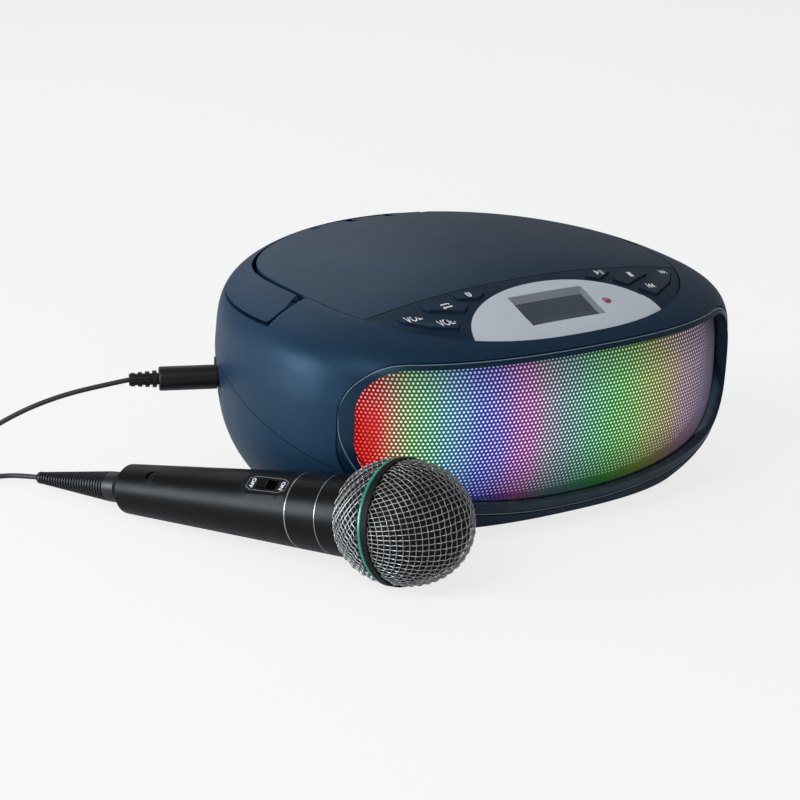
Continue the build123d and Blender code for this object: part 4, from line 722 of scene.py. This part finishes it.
marks = [
    ("program_loop", LOOP, (-50.6, -63.9), 1.5, "program_key"),
    ("function_power", POWER, (-35.9, -59.8), 1.3, "function_key"),
    ("play_pause", PLAY_PAUSE, (38.6, -59.4), 1.4, "play_key"),
    ("stop_square", STOP, (54.4, -63.0), 1.4, "stop_key"),
    ("skip_back", SKIP_BACK, (58.6, -73.2), 1.4, "skip_key"),
    ("skip_next", SKIP_NEXT, (75.4, -61.2), 1.25, "skip_key"),
]
for name, outlines, centre, size, carrier in marks:
    add_print(name, flat_mark(name, outlines, centre, size), carrier, carrier)
WORD_HEIGHT = 3.9
for name, words, centre in (("volume_more", "VOL+", (-68.6, -65.8)),
                            ("volume_less", "VOL-", (-57.4, -74.6))):
    add_print(name, word_mark(name, words, centre, WORD_HEIGHT), "volume_key", "volume_key")

# %% [markdown]
# ## Sloping walls round the display
# The glass lies lower than the silver bezel. A thin wall slopes from the bezel down to it, wider at
# the back and the right, and follows the curve of the glass.

# %% Walls round the display
WINDOW_OUTER = (-20.4, 20.4, -88.6, -69.0)      # left, right, front, rear, in plan
WINDOW_INNER = (-19.8, 18.2, -88.0, -72.4)
WALL_HEIGHT, WALL_FOOT, WALL_STEPS, HIGH_ABOVE = 1.4, 0.05, 14, 200
window_tree = surface_of("display_window")


def glass_height(x, y):
    """Height of the display's glass at a place in plan."""
    hit, _, _, _ = window_tree.ray_cast(Vector((x, y, HIGH_ABOVE)) * MM, Vector((0, 0, -1)))
    return hit.z / MM


def round_window(corners, height):
    """Points round a rectangle, at a height above the glass."""
    left, right, front, rear = corners
    bends = [(left, front), (right, front), (right, rear), (left, rear)]
    points = []
    for index, start in enumerate(bends):
        end = bends[(index + 1) % 4]
        for step in range(WALL_STEPS):
            x = start[0] + (end[0] - start[0]) * step / WALL_STEPS
            y = start[1] + (end[1] - start[1]) * step / WALL_STEPS
            points.append((x, y, glass_height(x, y) + height))
    return points


wall_points = round_window(WINDOW_OUTER, WALL_HEIGHT) + round_window(WINDOW_INNER, WALL_FOOT)
ring_size = 4 * WALL_STEPS
wall_faces = [
    (k, (k + 1) % ring_size, ring_size + (k + 1) % ring_size, ring_size + k)
    for k in range(ring_size)
]
wall_mesh = mesh_from("display_walls", wall_points, wall_faces, 20)
add_piece("display_walls", wall_mesh, window_wall, "case")
print("display walls have", len(wall_faces), "faces")

# %% [markdown]
# ## The microphone
# The handle, collar and neck keep their CAD solids and a satin black finish. Built here are the
# woven steel wire of the windscreen with its ring, the ribbed boot, the thin bright lines where
# parts meet, and the ON and OFF marks of the switch. All are laid out along the microphone's axis.

# %% The microphone's own directions
MIC_TAIL = Vector((-160.3, 33.4, 11.8))
MIC_AXIS = Vector((0.32659, -0.93933, 0.10486)).normalized()
MIC_UP = Vector((-0.03444, 0.09905, 0.99449))
MIC_SIDE = MIC_UP.cross(MIC_AXIS).normalized()
MIC_UP = MIC_AXIS.cross(MIC_SIDE).normalized()


def mic_point(along, radius, angle):
    """Point at a distance from the tail and an angle round the axis, from its top."""
    return MIC_TAIL + MIC_AXIS * along + radius * (cos(angle) * MIC_UP + sin(angle) * MIC_SIDE)


def turned_piece(name, profile, material, body, sides=72, sharp=35):
    """Piece turned round the microphone's axis from (distance, radius) pairs that form a ring."""
    points = [
        mic_point(along, radius, 2 * pi * side / sides)
        for side in range(sides) for along, radius in profile
    ]
    count, faces = len(profile), []
    for side in range(sides):
        for index in range(count):
            here, there = side * count, ((side + 1) % sides) * count
            after = (index + 1) % count
            faces.append((here + index, here + after, there + after, there + index))
    return add_piece(name, mesh_from(name, points, faces, sharp), material, body)


print("microphone axis", tuple(round(v, 3) for v in MIC_AXIS))

# %% [markdown]
# ### Woven windscreen
# The ball is a net of crossing wires that weave over and under each other. As curves they would be
# thousands of round wires, so the net is a mesh of small squares instead, whose edges a Wireframe
# modifier turns into wires with thickness. The rear half is a band of diamonds, and the front half
# a flat grid wrapped onto the dome. A dark lining just beneath shows through the openings.

# %% Outline of the windscreen
RING_START, RING_END = 155.7, 160.7
DOME_LENGTH, NET_RADIUS = 30.2, 27.0         # of the front dome, from the ring
NET_LENGTH = DOME_LENGTH - 0.4
REAR_START, REAR_RADIUS = 135.4, 18.9
REAR_FULLNESS, FRONT_FULLNESS = 0.85, 0.86   # powers below 1 make the outline fuller than round


def rear_radius(share):
    """Radius of the rear half, from the neck (0) to the ring (1)."""
    return REAR_RADIUS + (NET_RADIUS - REAR_RADIUS) * sin(share * pi / 2) ** REAR_FULLNESS


def front_outline(share):
    """Distance along the axis and radius of the front dome, from the ring (0) to its tip (1)."""
    angle = share * pi / 2
    return RING_END + NET_LENGTH * sin(angle), NET_RADIUS * cos(angle) ** FRONT_FULLNESS


def band_net(name, outline, rows, columns, weave):
    """Net of diamonds over a surface of revolution; every second crossing stands proud."""
    points, faces = [], []
    for row in range(rows + 1):
        along, radius = outline(row / rows)
        for column in range(columns):
            angle = 2 * pi * (column + 0.5 * (row % 2)) / columns
            lift = weave * (1 if (row // 2 + column) % 2 else -1)
            points.append(mic_point(along, radius + lift, angle))
    for row in range(rows - 1):
        for column in range(columns):
            right = (column + row % 2) % columns
            left = (column + row % 2 - 1) % columns
            faces.append((
                row * columns + column, (row + 1) * columns + right,
                (row + 2) * columns + column, (row + 1) * columns + left,
            ))
    return mesh_from(name, points, faces, 180)


NET_PITCH, DOME_ARC = 3.0, 47.0      # the way over the dome, from its tip to the ring


def dome_net(name, weave):
    """Square net whose flat grid is wrapped onto the dome, so that it doesn't bunch at the tip."""
    half = int(DOME_ARC / NET_PITCH) + 1
    numbers, points, faces = {}, [], []
    for column in range(-half, half + 1):
        for row in range(-half, half + 1):
            u, v = column * NET_PITCH, row * NET_PITCH
            reach = sqrt(u * u + v * v)
            if reach > DOME_ARC + 0.7 * NET_PITCH:
                continue
            share = 1 - min(reach / DOME_ARC, 1.0)
            along, radius = front_outline(share)
            lift = weave * (1 if (row + column) % 2 else -1)
            along += (lift - weave) * sin(share * pi / 2)
            radius = max(radius + lift * cos(share * pi / 2), 0)
            numbers[column, row] = len(points)
            points.append(mic_point(along, radius, atan2(v, u)))
    for column, row in numbers:
        corners = [(column, row), (column + 1, row), (column + 1, row + 1), (column, row + 1)]
        if all(corner in numbers for corner in corners):
            faces.append([numbers[corner] for corner in corners])
    return mesh_from(name, points, faces, 180)


# %% Wire finish, and the two nets
mesh_wire = plastic("mesh_wire", (0.46, 0.46, 0.46), (0.60, 0.60, 0.60), 900, (0.24, 0.34), 1,
                    metallic=0.95)
foam_lining = plastic("foam_lining", (0.003, 0.003, 0.003), (0.006, 0.006, 0.006), 1100,
                      (0.9, 1.0), 10)
WIRE_THICKNESS, REAR_GAP = 0.55, 0.3


def add_net(name, mesh, replaced):
    """Wire net standing in for a CAD node."""
    net = add_piece(name, mesh, mesh_wire, "microphone")
    wires = net.modifiers.new("wires", "WIREFRAME")
    wires.thickness = WIRE_THICKNESS * MM
    wires.use_even_offset = False
    wires.use_replace = True
    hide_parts(replaced)
    return net


def rear_outline(share, end=RING_START):
    """Distance along the axis and radius of the rear half, from the neck (0) to the ring (1)."""
    return REAR_START + (end - REAR_START) * share, rear_radius(share)


NET_ROWS, NET_COLUMNS, REAR_WEAVE, FRONT_WEAVE = 13, 44, 0.3, 0.32
rear_mesh = band_net(
    "windscreen_net_rear", lambda share: rear_outline(share, RING_START - REAR_GAP),
    NET_ROWS, NET_COLUMNS, REAR_WEAVE,
)
windscreen_rear = add_net("windscreen_net_rear", rear_mesh, "mic_windscreen_rear")
front_mesh = dome_net("windscreen_net_front", FRONT_WEAVE)
windscreen_front = add_net("windscreen_net_front", front_mesh, "mic_windscreen_front")
print("net faces:", len(windscreen_rear.data.polygons), "+", len(windscreen_front.data.polygons))

# %% Dark lining under the nets
LINING_STEPS, LINING_DROP, LINING_SHARE, AXIS_RADIUS = 24, 1.2, 0.93, 0.05
LINING_TIP = RING_END + DOME_LENGTH * LINING_SHARE
lining_outline = []
for step in range(LINING_STEPS):
    along, radius = rear_outline(step / LINING_STEPS)
    lining_outline.append((along, radius - LINING_DROP))
for step in range(LINING_STEPS):
    along, radius = front_outline(step / LINING_STEPS)
    lining_outline.append((RING_END + (along - RING_END) * LINING_SHARE, radius * LINING_SHARE))
lining_outline += [(LINING_TIP, AXIS_RADIUS), (REAR_START, AXIS_RADIUS)]
turned_piece("windscreen_foam", lining_outline, foam_lining, "microphone", 64, 60)
print("lining outline has", len(lining_outline), "points")

# %% Ring round the windscreen: a green band and a black one in front of it
RING_SPLIT, RING_RADIUS, RING_EDGE, RING_THICKNESS = 157.1, 28.0, 0.3, 2


def ring_profile(start, end):
    """Section of a flat band with broken edges."""
    inner, edge = RING_RADIUS - RING_THICKNESS, RING_RADIUS - RING_EDGE
    return [
        (start, inner), (start, edge), (start + RING_EDGE, RING_RADIUS),
        (end - RING_EDGE, RING_RADIUS), (end, edge), (end, inner),
    ]


green_profile = ring_profile(RING_START, RING_SPLIT)
black_profile = ring_profile(RING_SPLIT, RING_END)
green_band = turned_piece("green_ring", green_profile, ring_green, "microphone", 96)
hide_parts("mic_ring")
turned_piece("black_ring", black_profile, plate_black, "microphone", 96)
print("ring is", round(RING_END - RING_START, 2), "mm wide")

# %% Ribbed boot at the microphone's tail
BOOT_LINE = [(-5.5, 7.3), (-13.0, 7.1), (-32.0, 5.3), (-60.0, 2.7)]   # place along the axis, radius
RIB_PITCH, RIB_DEPTH = 1.9, 0.55
# one groove: share of the pitch, and how far below the boot's line
GROOVE = [(0.0, 0.0), (0.08, RIB_DEPTH), (0.45, RIB_DEPTH), (0.53, 0.0)]


def boot_radius(along):
    """Radius of the boot's outer line at a place along the microphone's axis."""
    for (start, first), (end, last) in zip(BOOT_LINE, BOOT_LINE[1:]):
        if along >= end:
            return first + (last - first) * (along - start) / (end - start)
    return BOOT_LINE[-1][1]


boot_start, boot_end = BOOT_LINE[0][0], BOOT_LINE[-1][0]
boot_outline = [(boot_start, 4.0), (boot_start, 7.0), (boot_start - 0.4, 7.3)]
along = BOOT_LINE[1][0]
while along - RIB_PITCH > boot_end:
    for share, drop in GROOVE:
        place = along - share * RIB_PITCH
        boot_outline.append((place, boot_radius(place) - drop))
    along -= RIB_PITCH
boot_outline += [(boot_end + 0.5, 2.9), (boot_end, 2.6), (boot_end, 1.6)]
boot_outline.reverse()
boot = turned_piece("ribbed_boot", boot_outline, plug_black, "microphone", 48)
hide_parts("mic_boot")
print("boot outline has", len(boot_outline), "points")

# %% Ring lines where the collar meets the handle and the neck
LINE_HALF_WIDTH = 0.28
# the section of a line: place across it, and height over the handle's surface
LINE_SECTION = [(-1, -0.5), (-1, 0.07), (0, 0.13), (1, 0.07), (1, -0.5)]
for name, along, radius in (("handle_line", 106.5, 17.08), ("neck_line", 124.0, 17.95)):
    section = [(along + side * LINE_HALF_WIDTH, radius + height) for side, height in LINE_SECTION]
    turned_piece(name, section, fine_line, "microphone")
    print(name, "at", along, "mm")

# %% ON and OFF on the switch plate
SWITCH_ANGLE = radians(-36)
PLATE_CENTRE, PLATE_RADIUS, PLATE_CLEARANCE = 92.0, 16.2, 6
PLATE_RAY_START = 0.02                       # m
switch_out = cos(SWITCH_ANGLE) * MIC_UP + sin(SWITCH_ANGLE) * MIC_SIDE
plate_across = switch_out.cross(MIC_AXIS).normalized()
plate_tree = surface_of("mic_switch_plate")


def on_plate(name, mesh, along, material):
    """Lay a mark on the switch plate, its own X across the plate and its Y along the microphone."""
    turn = Matrix((-plate_across, MIC_AXIS, switch_out)).transposed().to_4x4()
    middle = (MIC_TAIL + MIC_AXIS * along + switch_out * (PLATE_RADIUS + PLATE_CLEARANCE)) * MM
    mesh.transform(Matrix.Translation((0, 0, -DRAWING_HEIGHT)))
    mesh.transform(Matrix.Translation(middle) @ turn)
    missed = lay_down(mesh, plate_tree, -switch_out, PLATE_RAY_START)
    add_piece(name, mesh, material, "microphone")
    print(name, "missed vertices:", missed)


SWITCH_WORD_HEIGHT = 2.9
for name, words, along in (("switch_off_mark", "OFF", 83.6), ("switch_on_mark", "ON", 100.6)):
    mark = word_mark(name, words, (0, 0), SWITCH_WORD_HEIGHT, stretch=1.0)
    on_plate(name, mark, along, print_white)

# %% Bright edge line of the switch plate
PLATE_CORNERS = [
    (-3.9, -8.2), (-2.4, -11.2), (2.4, -11.2), (3.9, -8.2),
    (3.9, 8.2), (2.4, 11.2), (-2.4, 11.2), (-3.9, 8.2),
]
EDGE_WIDTH, EDGE_SHRINK = 0.32, 0.97


def inner_corner(corner):
    """Where a corner of the plate's edge line lies on its inner side."""
    return (corner[0] - copysign(EDGE_WIDTH, corner[0]), corner[1] * EDGE_SHRINK)


plate_edge = []
for index, start in enumerate(PLATE_CORNERS):
    end = PLATE_CORNERS[(index + 1) % len(PLATE_CORNERS)]
    plate_edge.append([start, end, inner_corner(end), inner_corner(start)])
edge_mesh = flat_mark("plate_edge_line", plate_edge, (0, 0), 1.0, stretch=1.0)
on_plate("plate_edge_line", edge_mesh, PLATE_CENTRE, fine_line)

# %% [markdown]
# ## The cord becomes a piece
# The curve has been waiting for its jacket. It stands in for the two CAD solids of the
# cord, and its tie holds the coil together.

# %% Cord and tie
cord = add_piece("microphone_cord", cord_curve, cord_skin, "case")
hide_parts("mic_cord", "mic_cord_coil")
TIE_ANGLE, TIE_HALF_WIDTH, TIE_THICKNESS = radians(200), 2.2, 0.5
TIE_MIDDLE_RADIUS, TIE_MIDDLE_HEIGHT, TIE_LOWEST = 14.6, 5.2, 0.1
# the band's section round the coil's turns: radius from the coil's centre, height
tie_section = [
    (8.9, 0.15), (20.3, 0.15), (20.9, 0.9), (20.9, 9.6),
    (20.3, 10.3), (8.9, 10.3), (8.3, 9.6), (8.3, 0.9),
]
tie_out = Vector((cos(TIE_ANGLE), sin(TIE_ANGLE), 0))
tie_along = Vector((-tie_out.y, tie_out.x, 0))
tie_points, tie_faces = [], []
for side in (-1, 1):
    for thick in (0.0, -TIE_THICKNESS):
        for radius, height in tie_section:
            radius += thick if radius > TIE_MIDDLE_RADIUS else -thick
            height += thick if height > TIE_MIDDLE_HEIGHT else -thick
            place = tie_out * radius + tie_along * side * TIE_HALF_WIDTH
            tie_points.append((COIL_X + place.x, COIL_Y + place.y, max(height, TIE_LOWEST)))
count = len(tie_section)
for index in range(count):
    after = (index + 1) % count
    for first, second in ((0, 2), (1, 3)):
        a, b = first * count, second * count
        tie_faces.append((a + index, a + after, b + after, b + index))
    for side in (0, 2):
        a, b = side * count, (side + 1) * count
        tie_faces.append((a + index, a + after, b + after, b + index))
tie_mesh = mesh_from("cord_tie", tie_points, tie_faces, 50)
tie = add_piece("cord_tie", tie_mesh, cord_skin, "case")
print("cord declared with a tie of", len(tie_points), "points")

# %% [markdown]
# ## Finishes on the CAD nodes
# Every CAD node that still shows gets the finish of the real piece. A list of names per finish
# keeps this short.

# %% Give each node its finish
finishes = {
    navy: ["lower_housing", "upper_housing", "carry_handle", "disc_lid", "battery_door"],
    navy_deep: ["control_panel"],
    navy_frame: ["grille_frame"],
    key_navy: ["volume_key", "program_key", "function_key", "play_key", "stop_key", "skip_key"],
    silver: ["display_bezel"],
    glass_dark: ["display_window"],
    lens_red: ["infrared_lens"],
    milky_light: ["light_diffuser"],
    copper_board: ["led_board", "key_board", "main_board", "display_module"],
    steel: ["handle_pins", "hinge_pins", "case_screws", "guide_rods", "spindle_motor", "sled_motor",
            "speaker_frames", "battery_contacts", "power_transformer", "lid_latch",
            "mic_capsule"],
    rubber: ["feet", "rubber_dampers"],
    cone_paper: ["speaker_cones"],
    mic_satin: ["mic_body", "mic_collar", "mic_neck"],
    plate_black: ["mic_switch_plate", "mic_switch"],
    inner_black: ["disc_well", "speaker_baffle", "mechanism_chassis", "turntable", "pickup_sled",
                  "sled_gear", "disc_clamper", "jack_plate", "mains_inlet", "mic_jacks",
                  "mic_screw"],
    plug_black: ["mic_plug", "plug_relief", "mic_boot"],
}
for material, names in finishes.items():
    for name in names:
        slots = node[name].data.materials
        slots.clear()
        slots.append(material)
left_out = sorted(set(node) - {name for names in finishes.values() for name in names})
print("nodes that other pieces stand in for:", left_out)

# %% Calm reflections on the broad curved skins
# Their facets get normals averaged by area, but edges sharper than this stay sharp.
SHARP_ANGLE, WELD_DISTANCE = 28, 0.01
for material in (navy, navy_deep, navy_frame, silver, key_navy):
    for name in finishes[material]:
        weld = node[name].modifiers.new("weld", "WELD")
        weld.merge_threshold = WELD_DISTANCE * MM
        sharp = node[name].modifiers.new("sharp", "EDGE_SPLIT")
        sharp.split_angle = radians(SHARP_ANGLE)
        calm = node[name].modifiers.new("calm", "WEIGHTED_NORMAL")
        calm.keep_sharp = True
print("broad skins smoothed")

# %% [markdown]
# ## Floor and light
# The picture has a plain white ground. The floor is pale and keeps the object's shadow; only what
# the camera sees of it is lifted towards white. Four large soft lamps stand round the machine.


# %% Pale floor
FLOOR_HALF, FLOOR_WHITENESS = 6.0, 0.78
floor_material = bpy.data.materials.new("pale_floor")
floor_material.use_nodes = True
floor_tree = floor_material.node_tree
floor_tree.nodes.clear()
matte = floor_tree.nodes.new("ShaderNodeBsdfDiffuse")
feed(floor_tree, matte, {"Color": (0.86, 0.86, 0.86, 1)})
white = floor_tree.nodes.new("ShaderNodeEmission")
feed(floor_tree, white, {"Strength": 1.0})
seen = floor_tree.nodes.new("ShaderNodeLightPath")
lift = product(floor_tree, seen.outputs["Is Camera Ray"], FLOOR_WHITENESS)
mixed = floor_tree.nodes.new("ShaderNodeMixShader")
feed(floor_tree, mixed, {"Fac": lift, 1: matte.outputs["BSDF"], 2: white.outputs["Emission"]})
floor_out = floor_tree.nodes.new("ShaderNodeOutputMaterial")
feed(floor_tree, floor_out, {"Surface": mixed.outputs["Shader"]})
floor_mesh = bpy.data.meshes.new("floor")
corner_signs = ((-1, -1), (1, -1), (1, 1), (-1, 1))
floor_corners = [(x * FLOOR_HALF, y * FLOOR_HALF, 0) for x, y in corner_signs]
floor_mesh.from_pydata(floor_corners, [], [(0, 1, 2, 3)])
floor_mesh.materials.append(floor_material)
floor = bpy.data.objects.new("floor", floor_mesh)
bpy.context.scene.collection.objects.link(floor)
print("floor is", 2 * FLOOR_HALF, "m wide")

# %% World: white to the camera, and dim for everything that it lights
SKY_LIGHT = 0.28
world = bpy.data.worlds.new("studio")
bpy.context.scene.world = world
world.use_nodes = True
sky = world.node_tree
background = sky.nodes["Background"]
sky_seen = sky.nodes.new("ShaderNodeLightPath")
sky_strength = ranged(sky, sky_seen.outputs["Is Camera Ray"], 0.0, 1.0, SKY_LIGHT, 1.0)
feed(sky, background, {"Color": (1, 1, 1, 1), "Strength": sky_strength})
print("world ready")


# %% Soft lamps
def soft_lamp(name, place, aim, size, energy, colour=(1.0, 1.0, 1.0)):
    """Square area lamp that points at a place."""
    lamp_data = bpy.data.lights.new(name, "AREA")
    lamp_data.shape = "SQUARE"
    lamp_data.size = size
    lamp_data.energy = energy
    lamp_data.color = colour
    lamp = bpy.data.objects.new(name, lamp_data)
    lamp.location = place
    lamp.rotation_mode = "QUATERNION"
    lamp.rotation_quaternion = (Vector(aim) - Vector(place)).to_track_quat("-Z", "Y")
    bpy.context.scene.collection.objects.link(lamp)


COOL = (0.80, 0.91, 1.0)
soft_lamp("key_lamp", (-1.1, -0.5, 1.1), (0, 0, 0.05), 0.7, 9)
soft_lamp("front_lamp", (0.5, -1.6, 0.7), (0, 0, 0.05), 0.8, 2)
soft_lamp("back_lamp", (0.2, 1.2, 1.0), (0, 0, 0.08), 1.2, 3.2, COOL)
soft_lamp("rim_lamp", (-1.3, 0.5, 0.25), (-0.05, 0, 0.04), 0.6, 17, COOL)
print("lamps placed")
